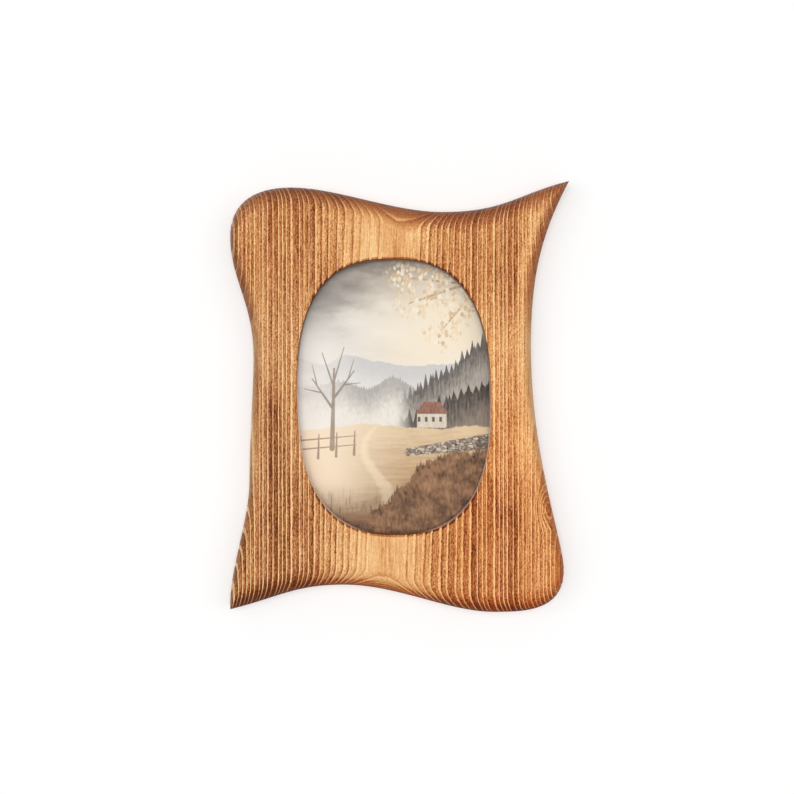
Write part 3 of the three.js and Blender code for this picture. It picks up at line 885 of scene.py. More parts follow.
# %% Glass pane
HEAD_ON_MIRROR = 0.012
GLASS_ARRIS = 0.25 * MM
glass, tree, shader = start_finish("clear_glass")
tree.nodes.remove(shader)
facing = Wire.node(tree, "ShaderNodeLayerWeight", None, {"Blend": 0.5}, out="Facing")
through = Wire.node(tree, "ShaderNodeBsdfTransparent", None, {"Color": (0.995, 0.998, 0.995, 1)})
mirror = Wire.node(tree, "ShaderNodeBsdfGlossy", None, {"Color": (1, 1, 1, 1), "Roughness": 0.03})
mirrored = HEAD_ON_MIRROR + (1 - HEAD_ON_MIRROR) * facing**5
pane = Wire.node(tree, "ShaderNodeMixShader", None, {0: mirrored, 1: through, 2: mirror})
tree.links.new(pane.socket, tree.nodes["Material Output"].inputs["Surface"])
keep(slab("glass_pane_visual", "glass_pane", GLASS_ARRIS, 1), glass, "clear_glass", "glass_pane")
print("glass pane, share mirrored head-on:", HEAD_ON_MIRROR)

# %% [markdown]
# ## Print
# The print is a satin sheet with a picture in the photograph's range of tones: a hazy grey and cream
# upper half, dark at the right and warm brown below. It is a generic autumn landscape made for this
# frame. Each layer is a height over the width of the sheet, built from noise, and everything under that
# height takes the layer's colour, fading into mist at its foot. Voronoi cells make the leaves and stones.

# %% Tools for drawing on the sheet
photo_paper, tree, shader = start_finish("print_paper")
local = in_mm(tree)
across, depth, height = local.parts()
up = height - OVAL_MIDDLE.z / MM


def hills(base, swing, width, seed, rough=0.12):
    """A skyline: its height in mm over the width of the sheet."""
    broad = noise_along(across / width + seed, detail=1) - 0.5
    fine = noise_along(across / (width * 0.12) + seed, detail=2) - 0.5
    return base + 2 * swing * broad + 2 * swing * rough * fine


def under(skyline, soft=0.35):
    return (skyline - up).rise(-soft, soft)


def conifers(spacing, low, tall, seed):
    """Heights of a row of pointed trees."""
    step = across / spacing + seed
    point = 1 - abs(step.fraction() - 0.5) * 2
    return point * (low + tall * dice(math.floor(step)))


def from_line(start, end):
    """How far a point is from a drawn line, and its share of the way along it."""
    run_x, run_z = end[0] - start[0], end[1] - start[1]
    off_x, off_z = across - start[0], up - start[1]
    share = (off_x * run_x + off_z * run_z) / (run_x * run_x + run_z * run_z)
    share = share.at_least(0).at_most(1)
    gap_x, gap_z = off_x - share * run_x, off_z - share * run_z
    return (gap_x * gap_x + gap_z * gap_z).root(), share


def stroke(start, end, half):
    """A drawn line that thins out towards its end."""
    gap, share = from_line(start, end)
    return 1 - (gap - half * (1 - 0.6 * share)).rise(-0.2, 0.2)


def strokes(lines):
    drawn = stroke(*lines[0])
    for line in lines[1:]:
        drawn = drawn.at_least(stroke(*line))
    return drawn


def cells(wide, tall, feature="F1", out="Distance"):
    """Irregular cells of about a size in mm, for leaves and stones."""
    sockets = {"Vector": local.stretched(1 / wide, 0, 1 / tall), "Scale": 1.0}
    return Wire.node(tree, "ShaderNodeTexVoronoi", {"feature": feature}, sockets, out=out)


drift = noise(local.stretched(1 / 30, 1, 1 / 11), detail=5, roughness=0.6) - 0.5
leaves = noise(local.stretched(0.8, 1, 0.45), detail=3, roughness=0.65) - 0.5
strand = noise(local.stretched(1 / 13, 1, 1 / 1.3), detail=4, roughness=0.65) - 0.5
print("drawing tools ready")

# %% Sky, hills and forest
SKY = [(244, 237, 230), (226, 218, 210), (140, 128, 118)]
view = ramp((up + 5) / 75 + drift * 1.1, SKY)
rain = up.rise(18, 46) * (1 - across.rise(-38, -12)) * (0.5 + 2 * drift)
view = blend(rain, view, paint(152, 147, 144))
sun_off = ((across - 25) * 0.8) * ((across - 25) * 0.8) + (up - 34) * (up - 34)
view = blend((1 - sun_off.root().rise(4, 46)) * (0.95 + drift), view, paint(244, 229, 206))

far = hills(17, 10, 36, 2.1)
far_side = blend((far - up).rise(0, 22) + leaves * 0.5, paint(206, 202, 201), paint(236, 230, 224))
view = blend(under(far), view, far_side)
mid = hills(5, 9, 27, 7.7)
mid_side = blend((mid - up).rise(0, 18) + leaves, paint(178, 172, 167), paint(235, 227, 217))
view = blend(under(mid + conifers(1.3, 0.4, 1.6, 4)), view, mid_side)
# Mist on the left of the picture, which is also painted light that lifts the shade of the oval's lip near
# the print's left edge.
left_mist_and_painted_light = (1 - across.rise(-46, -14)) * (1 - abs(up).rise(20, 50)) * (0.8 + 1.5 * drift)
view = blend(left_mist_and_painted_light, view, paint(241, 236, 231))

trunks = noise(local.stretched(1.4, 1, 0.16), detail=2) - 0.5
FOREST_ROWS = [
    (hills(-5, 3, 22, 11.3) + (across - 3).at_least(0) * 0.72, 2.6, (100, 93, 89), (180, 170, 160)),
    (hills(-13, 2, 18, 31.0) + (across - 10).at_least(0) * 0.5, 3.7, (66, 58, 53), (146, 131, 118)),
]
for slope, spacing, dark, pale in FOREST_ROWS:
    trees = conifers(spacing, 2, 6, 0.4).at_least(conifers(spacing * 0.73, 1, 5, 9.2))
    depth_in = (slope - up).rise(-6, 20) + leaves * 1.1 + trunks * 1.3
    wooded = under(slope + trees + leaves * 2, 0.3) * across.rise(0, 12)
    view = blend(wooded, view, blend(depth_in, paint(*dark), paint(*pale)))
print("forest rows:", len(FOREST_ROWS))

# %% Meadow, path, cottage and stone wall
GRASS = [(124, 88, 60), (190, 155, 116), (224, 197, 162)]
meadow = ramp((up + 66) / 50 + strand * 0.8 + leaves * 0.25, GRASS)
meadow = blend((1 - across.rise(-40, 12)) * up.rise(-64, -40), meadow, paint(243, 223, 198))
bank = hills(-15, 2.5, 30, 15.9, 0.3)
view = blend(under(bank, 0.5), view, meadow)
bend = 8 * (up / 9 + 1.2).sine() + up * 0.12 - 4
path_half = 0.6 + (bank - up).at_least(0) * 0.09 + strand * 3 + leaves
path = 1 - (abs(across - bend) - path_half).rise(-1.4, 1.4)
view = blend(path * under(bank, 0.5) * (0.25 + 0.35 * up.rise(-60, -25)), view, paint(246, 226, 194))

COTTAGE = {"middle": 19, "half": 7.4, "eaves": -8.5, "ridge": -2.5, "foot": -15.5}
from_middle = abs(across - COTTAGE["middle"])
under_eaves = 1 - (up - COTTAGE["eaves"]).rise(-0.2, 0.2)
walls = (1 - (from_middle - COTTAGE["half"]).rise(-0.2, 0.2)) * under_eaves
walls = walls * (up - COTTAGE["foot"] + leaves).rise(-0.3, 0.3)
hip = COTTAGE["ridge"] - (from_middle - 4).at_least(0) * 1.4
roof = under(hip, 0.25) * (1 - under_eaves)
panes = 1 - abs((across / 3.6).fraction() - 0.5).rise(0.17, 0.2)
panes = panes * (1 - abs(up + 11.3).rise(1.1, 1.3)) * walls
view = blend(walls, view, blend(0.5 + leaves, paint(190, 174, 158), paint(240, 228, 212)))
view = blend(roof, view, blend(0.5 + leaves * 2, paint(124, 80, 66), paint(172, 124, 106)))
view = blend(panes, view, paint(104, 88, 78))

wall_top = 0.18 * across - 27
wall_foot = wall_top - 3.4 - 0.09 * across
bracken = wall_foot - (22 - across).at_least(0) * 0.8 + hills(0, 5, 9, 41.0, 0.5) + leaves * 7
clumps = noise(local.stretched(1 / 8, 1, 1 / 5), detail=2) - 0.5
fronds = 0.45 + 1.2 * leaves + 0.5 * (cells(1.3, 2.6) - 0.5) + 1.6 * clumps
view = blend(under(bracken, 0.8), view, blend(fronds, paint(78, 50, 31), paint(172, 128, 92)))
stone, *_ = cells(2.3, 1.5, out="Color").parts()
joints = 1 - cells(2.3, 1.5, "DISTANCE_TO_EDGE").rise(0.02, 0.1)
stones = blend(joints, blend(stone + leaves, paint(126, 110, 97), paint(206, 191, 172)), paint(74, 60, 50))
built = under(wall_top + leaves, 0.25) * (1 - under(wall_foot, 0.3)) * across.rise(5, 7)
view = blend(built, view, stones)
print("meadow, cottage and wall drawn")

# %% Fence, bare tree and leafy boughs
POST_PLACES = [-47, -38, -29, -20]
FENCE = [((x, -27 + 0.1 * x), (x + 0.4, -15 + 0.1 * x), 0.65) for x in POST_PLACES]
FENCE += [((-50, z - 4.7), (-19, z - 2), 0.45) for z in (-17.5, -22)]
BARE_TREE = [
    ((-31, -26), (-30, 14), 1.3),
    ((-30.6, -6), (-41, 9), 0.7),
    ((-30.4, -1), (-20, 13), 0.7),
    ((-30.2, 5), (-36, 22), 0.5),
    ((-30, 8), (-25, 25), 0.5),
    ((-36, 2), (-45, 4), 0.4),
    ((-25, 6), (-17, 7), 0.4),
    ((-38.5, 5.5), (-41, 16), 0.35),
    ((-23, 9), (-20, 19), 0.35),
]
bark = blend(0.5 + leaves * 1.5, paint(112, 94, 82), paint(168, 144, 126))
view = blend(strokes(FENCE + BARE_TREE) * 0.8, view, bark)
blades = noise(local.stretched(1.3, 1, 0.12), detail=2).rise(0.54, 0.66) * (1 - (up + 46).rise(-12, 4))
view = blend(blades * (1 - path) * 0.6, view, paint(92, 66, 46))

BOUGHS = [((58, 64), (8, 47), 1.0), ((46, 60), (22, 31), 0.7), ((36, 56.5), (4, 60), 0.6)]
near_bough = from_line(*BOUGHS[0][:2])[0]
for bough in BOUGHS[1:]:
    near_bough = near_bough.at_most(from_line(*bough[:2])[0])
leafy = 1 - (near_bough - 12 * leaves).rise(4, 10)
leaf = 1 - cells(1.9, 2.5).rise(0.5, 0.6)
leaf_shade, *_ = cells(1.9, 2.5, out="Color").parts()
view = blend(strokes(BOUGHS) * 0.7, view, paint(164, 134, 108))
LEAVES = [(246, 236, 217), (240, 217, 186), (210, 178, 140)]
view = blend(leaf * leafy * 0.9, view, ramp(leaf_shade + leaves, LEAVES))
print("posts:", len(POST_PLACES), "branches:", len(BARE_TREE), "boughs:", len(BOUGHS))

# %% Print sheet
PAPER_ARRIS = 0.04 * MM
print_low, print_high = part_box("picture_print")
facing_glass = 1 - (depth - print_low[1] / MM).rise(0.05, 0.1)
margin = abs(across).rise(48.9, 49.1).at_least(abs(up).rise(73.9, 74.1))
tooth = noise(local.stretched(3, 3, 3), detail=2) - 0.5
set_sockets(
    shader,
    {
        "Base Color": blend(facing_glass * (1 - margin), paint(238, 236, 231), view),
        "Roughness": 0.42 + 0.15 * tooth,
        "Specular IOR Level": 0.12,
        "Normal": bump(tooth, 0.15, 0.05 * MM),
    },
)
sheet = slab("picture_print_visual", "picture_print", PAPER_ARRIS, 1)
keep(sheet, photo_paper, "print_paper", "picture_print")
print("print sheet in mm:", [round((b - a) / MM, 1) for a, b in zip(print_low, print_high)])

# %% [markdown]
# ## Filler card and back panel
# The card behind the print is grey pulp board, with fibres and flecks pressed into it. The panel that
# closes the back is brown hardboard: on the face that shows, the wire screen of the press has left a fine
# woven mark, and dark fibres lie scattered in it. Both are eased slabs, and their finishes carry the detail.

# %% Filler card
CARD_ARRIS = 0.2 * MM
card, tree, shader = start_finish("grey_card")
local = in_mm(tree)
pulp = noise(local.stretched(0.5, 0.5, 0.5), detail=4, roughness=0.7) - 0.5
fleck = noise(local.stretched(1.6, 1.6, 0.5), detail=1).rise(0.66, 0.72)
card_colour = blend((0.5 + 1.4 * pulp).at_most(1.0), paint(166, 160, 146), paint(200, 194, 180))
card_colour = blend(fleck * 0.6, card_colour, paint(112, 104, 92))
set_sockets(
    shader,
    {"Base Color": card_colour, "Roughness": 0.92 + 0.1 * pulp, "Normal": bump(pulp, 0.3, 0.1 * MM)},
)
keep(slab("filler_card_visual", "filler_card", CARD_ARRIS, 2), card, "grey_card", "filler_card")
print("card finish in", len(tree.nodes), "nodes")

# %% Hardboard panel
PANEL_ARRIS = 0.5 * MM
SCREEN_PITCH = 1.4
panel_board, tree, shader = start_finish("hardboard")
local = in_mm(tree)
x, _, z = local.parts()
weave_x = abs((x / SCREEN_PITCH).fraction() - 0.5)
weave_z = abs((z / SCREEN_PITCH).fraction() - 0.5)
screen = weave_x.at_least(weave_z).rise(0.28, 0.48)
pulp = noise(local.stretched(0.28, 0.28, 0.28), detail=4, roughness=0.7) - 0.5
shreds = noise(local.stretched(1.3, 1.3, 0.35), detail=2).rise(0.6, 0.68)
board_colour = blend((0.5 + 1.5 * pulp).at_most(1.0), paint(96, 62, 38), paint(134, 92, 60))
board_colour = blend(shreds * 0.55, board_colour, paint(66, 42, 27))
board_colour = blend(screen * 0.3, board_colour, paint(70, 45, 28))
set_sockets(
    shader,
    {
        "Base Color": board_colour,
        "Roughness": 0.7 + 0.2 * pulp,
        "Normal": bump(pulp * 0.5 - screen * 0.6, 0.6, 0.12 * MM),
    },
)
keep(slab("back_panel_visual", "back_panel", PANEL_ARRIS, 3), panel_board, "hardboard", "back_panel")
print("panel finish in", len(tree.nodes), "nodes")

# %% [markdown]
# ## Zinc-plated turn buttons
# Each turn button is a stamped steel strip with round ends that swings over the panel's edge. Stamping
# rolls its edges over, so they are rounded in the mesh and catch the light. The strip is a closed chain of
# rings: round the hole, over the front, round the edge and back over the other face. One drawing serves
# all four, turned half round for the right-hand pair. Each one rides on its own body, because it turns.

# %% Zinc finish
zinc, tree, shader = start_finish("zinc_steel")
local = in_mm(tree)
rolled = noise(local.stretched(0.3, 3, 4), detail=3, roughness=0.7) - 0.5
bloom = noise(local.stretched(0.3, 0.3, 0.3), detail=2) - 0.5
zinc_colour = blend((0.5 + 1.2 * bloom + rolled).at_most(1.0), paint(158, 163, 170), paint(198, 197, 190))
set_sockets(
    shader,
    {
        "Base Color": zinc_colour,
        "Metallic": 1.0,
        "Roughness": 0.3 + 0.2 * bloom + 0.3 * rolled,
        "Normal": bump(rolled, 0.3, 0.03 * MM),
    },
)
print("zinc finish in", len(tree.nodes), "nodes")


# %% Turn buttons
def skin(work, rows):
    """Faces between neighbouring rows of equally many points; a point that repeats closes a pole."""
    for row, after in zip(rows, rows[1:]):
        for i in range(len(row)):
            j = (i + 1) % len(row)
            work.faces.new(list(dict.fromkeys((row[i], row[j], after[j], after[i]))))


BUTTON = {"radius": 4.5, "far": 11.5, "front": 0.1, "thick": 1.2, "hole": 1.75, "edge": 0.4, "ease": 0.25}
ARC_POINTS = 24
EDGE_STEPS = 5


def button_ring(inset, depth):
    """The strip's outline, drawn in by an inset, at a local depth."""
    half = np.linspace(math.pi / 2, 3 * math.pi / 2, ARC_POINTS)
    radius = BUTTON["radius"] - inset
    near = [(radius * math.cos(a), depth, radius * math.sin(a)) for a in half]
    far = [(BUTTON["far"] - x, y, -z) for x, y, z in near]
    return near + far


def hole_ring(radius, depth):
    turn = np.linspace(math.pi / 2, 5 * math.pi / 2, 2 * ARC_POINTS, endpoint=False)
    return [(radius * math.cos(a), depth, radius * math.sin(a)) for a in turn]


def button_rings():
    front, edge = BUTTON["front"], BUTTON["edge"]
    back = front + BUTTON["thick"]
    steps = [step / EDGE_STEPS * math.pi / 2 for step in range(EDGE_STEPS + 1)]
    rolled_front = [(edge * (1 - math.sin(a)), front + edge * (1 - math.cos(a))) for a in steps]
    rolled_back = [(inset, back + front - depth) for inset, depth in reversed(rolled_front)]
    rings = [hole_ring(BUTTON["hole"], front)]
    rings += [button_ring(inset, depth) for inset, depth in rolled_front + rolled_back]
    rings += [hole_ring(BUTTON["hole"] + BUTTON["ease"], back)]
    rings += [hole_ring(BUTTON["hole"], back - BUTTON["ease"])]
    return np.array(rings)


for x, z in PIVOTS:
    name = f"turn_button_{'upper' if z > 0 else 'lower'}_{'left' if x < 0 else 'right'}"
    facing_in = 1 if x < 0 else -1
    placed = button_rings() * (facing_in, 1, facing_in) * MM
    placed = placed + (x * MM, BACK_Y, OVAL_MIDDLE.z + z * MM)
    work = bmesh.new()
    rows = [[work.verts.new(point) for point in ring] for ring in placed]
    skin(work, rows + rows[:1])
    piece = new_piece(f"{name}_visual", mesh_from(work, name))
    keep(piece, zinc, "zinc_steel", name, body=name)
print("turn buttons:", len(PIVOTS))

# %% [markdown]
# ## Screws, nails and bumpers
# Four pan-head screws hold the turn buttons, two small nails hold the hanger and two rubber bumpers keep
# the frame off the wall. Each kind is turned once, as a profile spun round its axis. A small Geometry
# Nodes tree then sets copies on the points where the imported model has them, each turned by chance, as
# driven screws are. The screw's cross recess is cut with a Boolean before it is copied.


# %% Turned fasteners
def spun(name, profile, segments):
    """A closed solid spun round the Y axis from (radius, depth) points in mm; it starts and ends on it."""
    work = bmesh.new()
    turns = np.linspace(0, 2 * math.pi, segments, endpoint=False)
    rows = []
    for radius, depth in profile:
        ring = [Vector((radius * math.cos(a), depth, radius * math.sin(a))) * MM for a in turns]
        if radius == 0:
            rows.append([work.verts.new(ring[0])] * segments)
        else:
            rows.append([work.verts.new(point) for point in ring])
    skin(work, rows)
    return mesh_from(work, name)


def quarter(radius, rim, crown, steps=8):
    """Profile points of a domed head from its rim up to its crown."""
    turns = [step / steps * math.pi / 2 for step in range(steps + 1)]
    points = [(radius * math.cos(a), rim + (crown - rim) * math.sin(a)) for a in turns]
    return points[:-1] + [(0, crown)]


def headed(name, size, segments):
    """A shank with a point, and a domed head on its seat."""
    seat, head = size["seat"], size["head"]
    profile = [(0, size["tip"]), (size["shank"], size["point"]), (size["shank"], seat)]
    profile += [(head - size["ease"], seat), (head, seat + size["ease"])]
    return spun(name, profile + quarter(head, seat + size["rim"], seat + size["crown"]), segments)


SCREW = {"tip": -12, "point": -9, "shank": 1.5, "seat": 1.4}
SCREW |= {"head": 3.0, "ease": 0.2, "rim": 0.8, "crown": 1.9}
NAIL = {"tip": -10, "point": -8, "shank": 0.7, "seat": 1.1}
NAIL |= {"head": 1.7, "ease": 0.1, "rim": 0.4, "crown": 0.8}
screw_mesh = headed("screw", SCREW, 40)
nail_mesh = headed("nail", NAIL, 28)

BUMPER = {"foot": 0.1, "radius": 5, "ease": 0.1, "flange": 0.7, "top": 3.5, "lip": 0.6, "face": 4.1}
LIP_STEPS = 5
lip_turns = [step / LIP_STEPS * math.pi / 2 for step in range(LIP_STEPS + 1)]
lip_middle = BUMPER["face"] - BUMPER["lip"]
bumper_profile = [(0, BUMPER["foot"]), (BUMPER["radius"] - BUMPER["ease"], BUMPER["foot"])]
bumper_profile += [(BUMPER["radius"], z) for z in (BUMPER["foot"] + BUMPER["ease"], BUMPER["flange"])]
for turn in lip_turns:
    radius = BUMPER["top"] + BUMPER["lip"] * math.cos(turn)
    bumper_profile.append((radius, lip_middle + BUMPER["lip"] * math.sin(turn)))
bumper_mesh = spun("bumper", bumper_profile + [(0, BUMPER["face"])], 40)
print("turned faces:", [len(mesh.polygons) for mesh in (screw_mesh, nail_mesh, bumper_mesh)])

# %% Cross recess of the screw
RECESS = {"half": 1.5, "half_width": 0.4, "depth": 1.0, "taper": 0.7}
CROWN = SCREW["seat"] + SCREW["crown"]


def cross_ring(scale, depth):
    long, short = RECESS["half"] * scale, RECESS["half_width"] * scale
    arm = [(long, -short), (long, short), (short, short)]
    quarters = ((1, 0), (0, 1), (-1, 0), (0, -1))
    turned = [(c * x - s * z, s * x + c * z) for c, s in quarters for x, z in arm]
    return [Vector((x, depth, z)) * MM for x, z in turned]


work = bmesh.new()
cross_levels = [(RECESS["taper"], CROWN - RECESS["depth"]), (1 / RECESS["taper"], CROWN + RECESS["depth"])]
rows = [[work.verts.new(point) for point in cross_ring(*level)] for level in cross_levels]
for row in rows:
    work.faces.new(row)
skin(work, rows)
cutter = new_piece("cross cutter", mesh_from(work, "cross cutter"))
screw = new_piece("screw pattern", screw_mesh)
cross = screw.modifiers.new("cross recess", "BOOLEAN")
cross.object = cutter
cross.solver = "EXACT"
graph = bpy.context.evaluated_depsgraph_get()
recessed = bpy.data.meshes.new_from_object(screw.evaluated_get(graph), depsgraph=graph)
screw.modifiers.clear()
recessed.set_sharp_from_angle(angle=CRISP_ANGLE)
screw.data = recessed
bpy.data.objects.remove(cutter)
print("screw faces with the recess:", len(recessed.polygons))

# %% Copies on their points
COPY_INPUTS = {
    "Fastener": "NodeSocketObject",
    "Most turn": "NodeSocketFloat",
    "Seed": "NodeSocketInt",
    "Metal": "NodeSocketMaterial",
}
copy_tree, sown, copy_keys = shaping_tree("fasteners on their points", COPY_INPUTS)
pattern = Wire.node(copy_tree, "GeometryNodeObjectInfo", None, {"Object": sown["Fastener"]}, out="Geometry")
limits = {2: 0.0, 3: sown["Most turn"], "Seed": sown["Seed"]}
chance = Wire.node(copy_tree, "FunctionNodeRandomValue", {"data_type": "FLOAT"}, limits, out=1)
driven = Wire.node(copy_tree, "ShaderNodeCombineXYZ", None, {"Y": chance})
on_points = {"Points": sown["Geometry"], "Instance": pattern, "Rotation": driven}
copies = Wire.node(copy_tree, "GeometryNodeInstanceOnPoints", None, on_points)
end_tree(copy_tree, copies, sown["Metal"])
print("fastener tree nodes:", len(copy_tree.nodes))


# %% Fasteners in place
def sow(name, pattern_object, places, finish, seed):
    """One piece with a copy of the pattern at each place on the back of the plank."""
    points = bpy.data.meshes.new(name)
    points.from_pydata([(x * MM, BACK_Y, OVAL_MIDDLE.z + z * MM) for x, z in places], [], [])
    piece = new_piece(name, points)
    values = {"Fastener": pattern_object, "Most turn": math.tau, "Seed": seed, "Metal": finish}
    shape_with(piece, copy_tree, copy_keys, values)
    bpy.data.objects.remove(pattern_object)
    return piece


rubber, tree, shader = start_finish("black_rubber")
local = in_mm(tree)
dust = noise(local.stretched(0.9, 0.9, 0.9), detail=4, roughness=0.7) - 0.5
rubber_colour = blend((0.45 + 1.3 * dust).at_most(1.0), paint(30, 30, 31), paint(52, 51, 50))
set_sockets(
    shader,
    {"Base Color": rubber_colour, "Roughness": 0.78 + 0.2 * dust, "Normal": bump(dust, 0.25, 0.08 * MM)},
)
BUMPER_PLACES = [(-62, -90), (62, -90)]
screws = sow("turn_button_screws", screw, PIVOTS, zinc, seed=4)
screw_nodes = [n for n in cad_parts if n.startswith("turn_button_screw")]
keep(screws, zinc, "zinc_steel", *screw_nodes)
nails = sow("hanger_nails", new_piece("nail pattern", nail_mesh), NAIL_PLACES, zinc, seed=7)
keep(nails, zinc, "zinc_steel", "hanger_nail_left", "hanger_nail_right")
bumpers = sow("wall_bumpers", new_piece("bumper pattern", bumper_mesh), BUMPER_PLACES, rubber, seed=9)
keep(bumpers, rubber, "black_rubber", "wall_bumper_left", "wall_bumper_right")
print("screws, nails and bumpers:", [len(p.data.polygons) for p in (screws, nails, bumpers)])

# %% [markdown]
# ## Sawtooth hanger
# The hanger is a strip of brass-plated steel. Its end tabs lie on the wood, its middle stands 2 mm off it,
# and notches in its lower edge take the wall nail. The strip is drawn flat, as an outline with nail holes.
# Four copies of that drawing make the sheet: the two faces, drawn in a little, and between them two full
# size, so the stamped edge gets a fine chamfer. Every point is then lifted by the wave of the strip.

# %% Hanger outline
HANGER = {"bottom": 80.2, "height": 9, "sheet": 0.9, "lift": 2, "raised": 12, "foot": 14, "half": 22}
NOTCH = {"each_side": 2, "pitch": 4, "mouth": 3.2, "root": 1.4, "depth": 2.2}
CHAMFER = 0.12
CORNER_CUT = 0.8
BENDS = np.linspace(HANGER["raised"], HANGER["foot"], 7)


def hanger_edge():
    """The strip's outline, anticlockwise from the lower left, with points where it bends."""
    low, high, half = HANGER["bottom"], HANGER["bottom"] + HANGER["height"], HANGER["half"]
    edge = [(-half, low + CORNER_CUT), (-half + CORNER_CUT, low)] + [(-x, low) for x in BENDS[::-1]]
    for i in range(-NOTCH["each_side"], NOTCH["each_side"] + 1):
        mouth, root, roof = NOTCH["mouth"] / 2, NOTCH["root"] / 2, low + NOTCH["depth"]
        middle = i * NOTCH["pitch"]
        edge += [(middle - mouth, low), (middle - root, roof), (middle + root, roof), (middle + mouth, low)]
    edge += [(x, low) for x in BENDS] + [(half - CORNER_CUT, low), (half, low + CORNER_CUT)]
    edge += [(half, high - CORNER_CUT), (half - CORNER_CUT, high)] + [(x, high) for x in BENDS[::-1]]
    edge += [(-x, high) for x in BENDS] + [(-half + CORNER_CUT, high), (-half, high - CORNER_CUT)]
    return np.array(edge)


def drawn_in(edge, by):
    """An anticlockwise outline moved inwards, with mitred corners."""
    before, after = edge - np.roll(edge, 1, axis=0), np.roll(edge, -1, axis=0) - edge
    sides = [side / np.linalg.norm(side, axis=1)[:, None] for side in (before, after)]
    middle = sum(np.stack([-side[:, 1], side[:, 0]], axis=1) for side in sides)
    return edge + by * 2 * middle / np.sum(middle * middle, axis=1)[:, None]


def wave(x):
    """How far the strip's inner face stands off the wood."""
    share = np.clip((HANGER["foot"] - np.abs(x)) / (HANGER["foot"] - HANGER["raised"]), 0, 1)
    return 0.1 + HANGER["lift"] * share * share * (3 - 2 * share)


print("hanger outline points:", len(hanger_edge()))

# %% Hanger sheet
work = bmesh.new()
sheet = HANGER["sheet"]
sheet_levels = [(CHAMFER, 0.0), (0.0, CHAMFER), (0.0, sheet - CHAMFER), (CHAMFER, sheet)]
loops = [hanger_edge()] + [circle(place, NAIL_HOLE["radius"], HOLE_POINTS)[::-1] for place in NAIL_PLACES]


def sheet_layer(inset_by, rise_by):
    """The drawing at one level of the sheet, lifted by the wave."""
    drawn = [drawn_in(loop, inset_by) for loop in loops]
    return [[work.verts.new((x, wave(x) + rise_by, z)) for x, z in loop] for loop in drawn]


def bend_links(flat):
    """Edges across the strip where it bends, so that it creases straight."""
    top = HANGER["bottom"] + HANGER["height"]
    low = {round(p.x, 4): i for i, p in enumerate(flat) if p.y < HANGER["bottom"] + 1}
    high = {round(p.x, 4): i for i, p in enumerate(flat) if p.y > top - 1}
    return [(low[x], high[x]) for x in low if x in high and abs(x) < HANGER["foot"] + 0.1]


layers = [sheet_layer(*level) for level in sheet_levels]
for rows in zip(*layers):
    skin(work, rows)
for layer in (layers[0], layers[-1]):
    verts = [vert for row in layer for vert in row]
    flat = [Vector((vert.co.x, vert.co.z)) for vert in verts]
    for face in delaunay_2d_cdt(flat, loop_edges(layer) + bend_links(flat), [], 1, SAME_PLACE)[2]:
        middle = sum((flat[i] for i in face), Vector((0, 0))) / len(face)
        if all((middle - Vector(place)).length > NAIL_HOLE["radius"] + CHAMFER for place in NAIL_PLACES):
            work.faces.new([verts[i] for i in face])
bmesh.ops.scale(work, vec=(MM, MM, MM), verts=work.verts)
bmesh.ops.translate(work, vec=(0, BACK_Y, OVAL_MIDDLE.z), verts=work.verts)
hanger_open = sum(not edge.is_manifold for edge in work.edges)
hanger_mesh = mesh_from(work, "sawtooth hanger")
print("hanger faces:", len(hanger_mesh.polygons), "open edges:", hanger_open)

# %% Brass plating
brass, tree, shader = start_finish("brass_plate")
local = in_mm(tree)
rolled = noise(local.stretched(0.25, 8, 8), detail=3, roughness=0.7) - 0.5
tarnish = noise(local.stretched(0.4, 0.4, 0.4), detail=3) - 0.5
brass_colour = blend((0.5 + 1.2 * tarnish).at_most(1.0), paint(200, 158, 88), paint(236, 202, 134))
set_sockets(
    shader,
    {
        "Base Color": brass_colour,
        "Metallic": 1.0,
        "Roughness": 0.26 + 0.2 * tarnish + 0.2 * rolled,
        "Normal": bump(rolled, 0.2, 0.03 * MM),
    },
)
keep(new_piece("sawtooth_hanger_visual", hanger_mesh), brass, "brass_plate", "sawtooth_hanger")
print("brass finish in", len(tree.nodes), "nodes")

# %% [markdown]
# ## White wall and soft light
# The frame hangs on a plain white wall, which also carries its faint shadow. A soft lamp stands close to
# the camera, so that light reaches the print right up to the deep edge of the oval. Glass would mirror it,
# so it is hidden from reflections, as a polarising filter does in a studio. Two weaker lamps at the left
# and the right shape the rounded edges, and a pale room fills in, which reflections see as white.
# Together they light a surface that faces the camera at about the level at which a colour renders as it
# is written. Seen from behind, the wall is clear, so that the back of the frame shows, and a lamp behind
# it lights the back. For the same reason only the camera sees the wall: other light passes through it
# to the metal fittings.

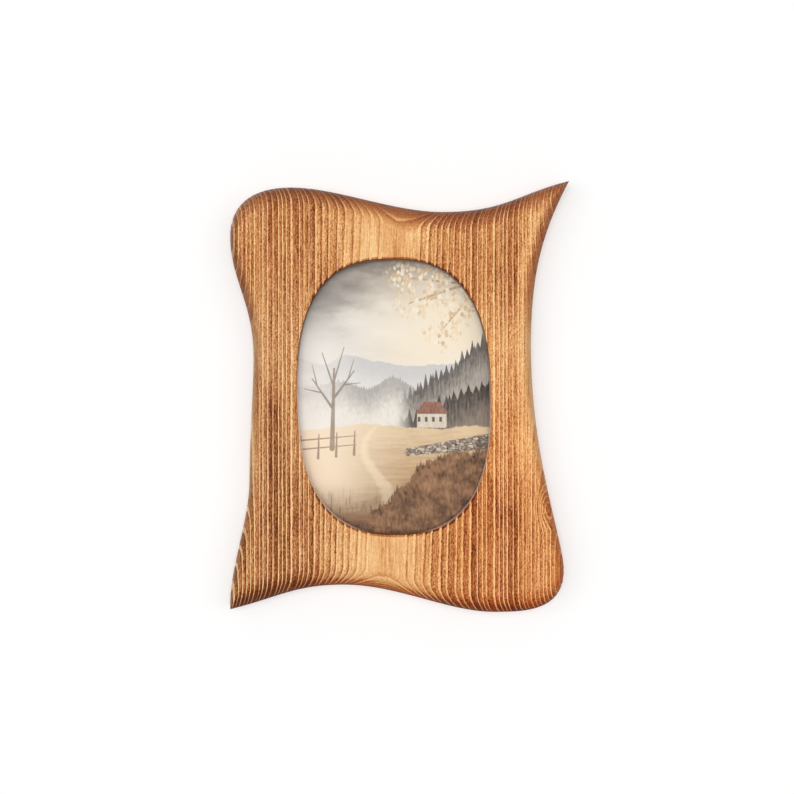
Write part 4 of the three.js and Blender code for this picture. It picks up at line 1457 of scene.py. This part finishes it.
# %% White wall
WALL_Y = cad_box[1][1] + 0.05 * MM
WALL_HALF = 3.0
WALL_GLOW = 0.3
corners = [(x * WALL_HALF, WALL_Y, z * WALL_HALF) for x, z in ((-1, -1), (1, -1), (1, 1), (-1, 1))]
wall_mesh = bpy.data.meshes.new("wall")
wall_mesh.from_pydata(corners, [], [(0, 1, 2, 3)])
wall = new_piece("wall", wall_mesh)
wall_paint, tree, shader = start_finish("wall_paint")
set_sockets(shader, {"Base Color": paint(252, 252, 252), "Roughness": 0.9, "Specular IOR Level": 0.0})
from_behind = Wire.node(tree, "ShaderNodeNewGeometry", out="Backfacing")
to_eye = Wire.node(tree, "ShaderNodeLightPath", out="Is Camera Ray")
clear = Wire.node(tree, "ShaderNodeBsdfTransparent")
glow = Wire.node(tree, "ShaderNodeEmission", None, {"Color": (1, 1, 1, 1), "Strength": 1.0})
lit = Wire.node(tree, "ShaderNodeMixShader", None, {0: WALL_GLOW, 1: Wire(tree, shader.outputs[0]), 2: glow})
shown = Wire.node(tree, "ShaderNodeMixShader", None, {0: to_eye * (1 - from_behind), 1: clear, 2: lit})
tree.links.new(shown.socket, tree.nodes["Material Output"].inputs["Surface"])
wall.data.materials.append(wall_paint)
print("wall this far behind the back, in mm:", round((WALL_Y - BACK_Y) / MM, 2))


# %% Lamps
def lamp(name, towards, strength, spread):
    """A distant soft lamp: its light travels along a direction."""
    light = bpy.data.lights.new(name, "SUN")
    light.energy = strength
    light.angle = math.radians(spread)
    holder = bpy.data.objects.new(name, light)
    holder.rotation_euler = Vector(towards).to_track_quat("-Z", "Y").to_euler()
    bpy.context.scene.collection.objects.link(holder)
    return holder


front_lamp = lamp("front lamp", (0.02, 0.99, -0.02), 1.4, 25)
front_lamp.visible_glossy = False
lamp("left lamp", (0.42, 0.9, -0.05), 0.6, 40)
lamp("right lamp", (-0.42, 0.9, -0.02), 0.5, 40)
lamp("rear lamp", (0.3, -0.85, -0.4), 1.3, 50)

# %% Room and view
ROOM_LIGHT = 0.28
world = bpy.data.worlds.new("room")
world.use_nodes = True
bpy.context.scene.world = world
tree = world.node_tree
rays = tree.nodes.new("ShaderNodeLightPath")
seen = Wire(tree, rays.outputs["Is Camera Ray"])
for kind in ("Is Glossy Ray", "Is Transmission Ray"):
    seen = seen.at_least(Wire(tree, rays.outputs[kind]))
backdrop = tree.nodes["Background"]
set_sockets(backdrop, {"Color": (1, 1, 1, 1), "Strength": ROOM_LIGHT + seen * (1 - ROOM_LIGHT)})
bpy.context.scene.view_settings.view_transform = "Standard"
print("room light:", ROOM_LIGHT)
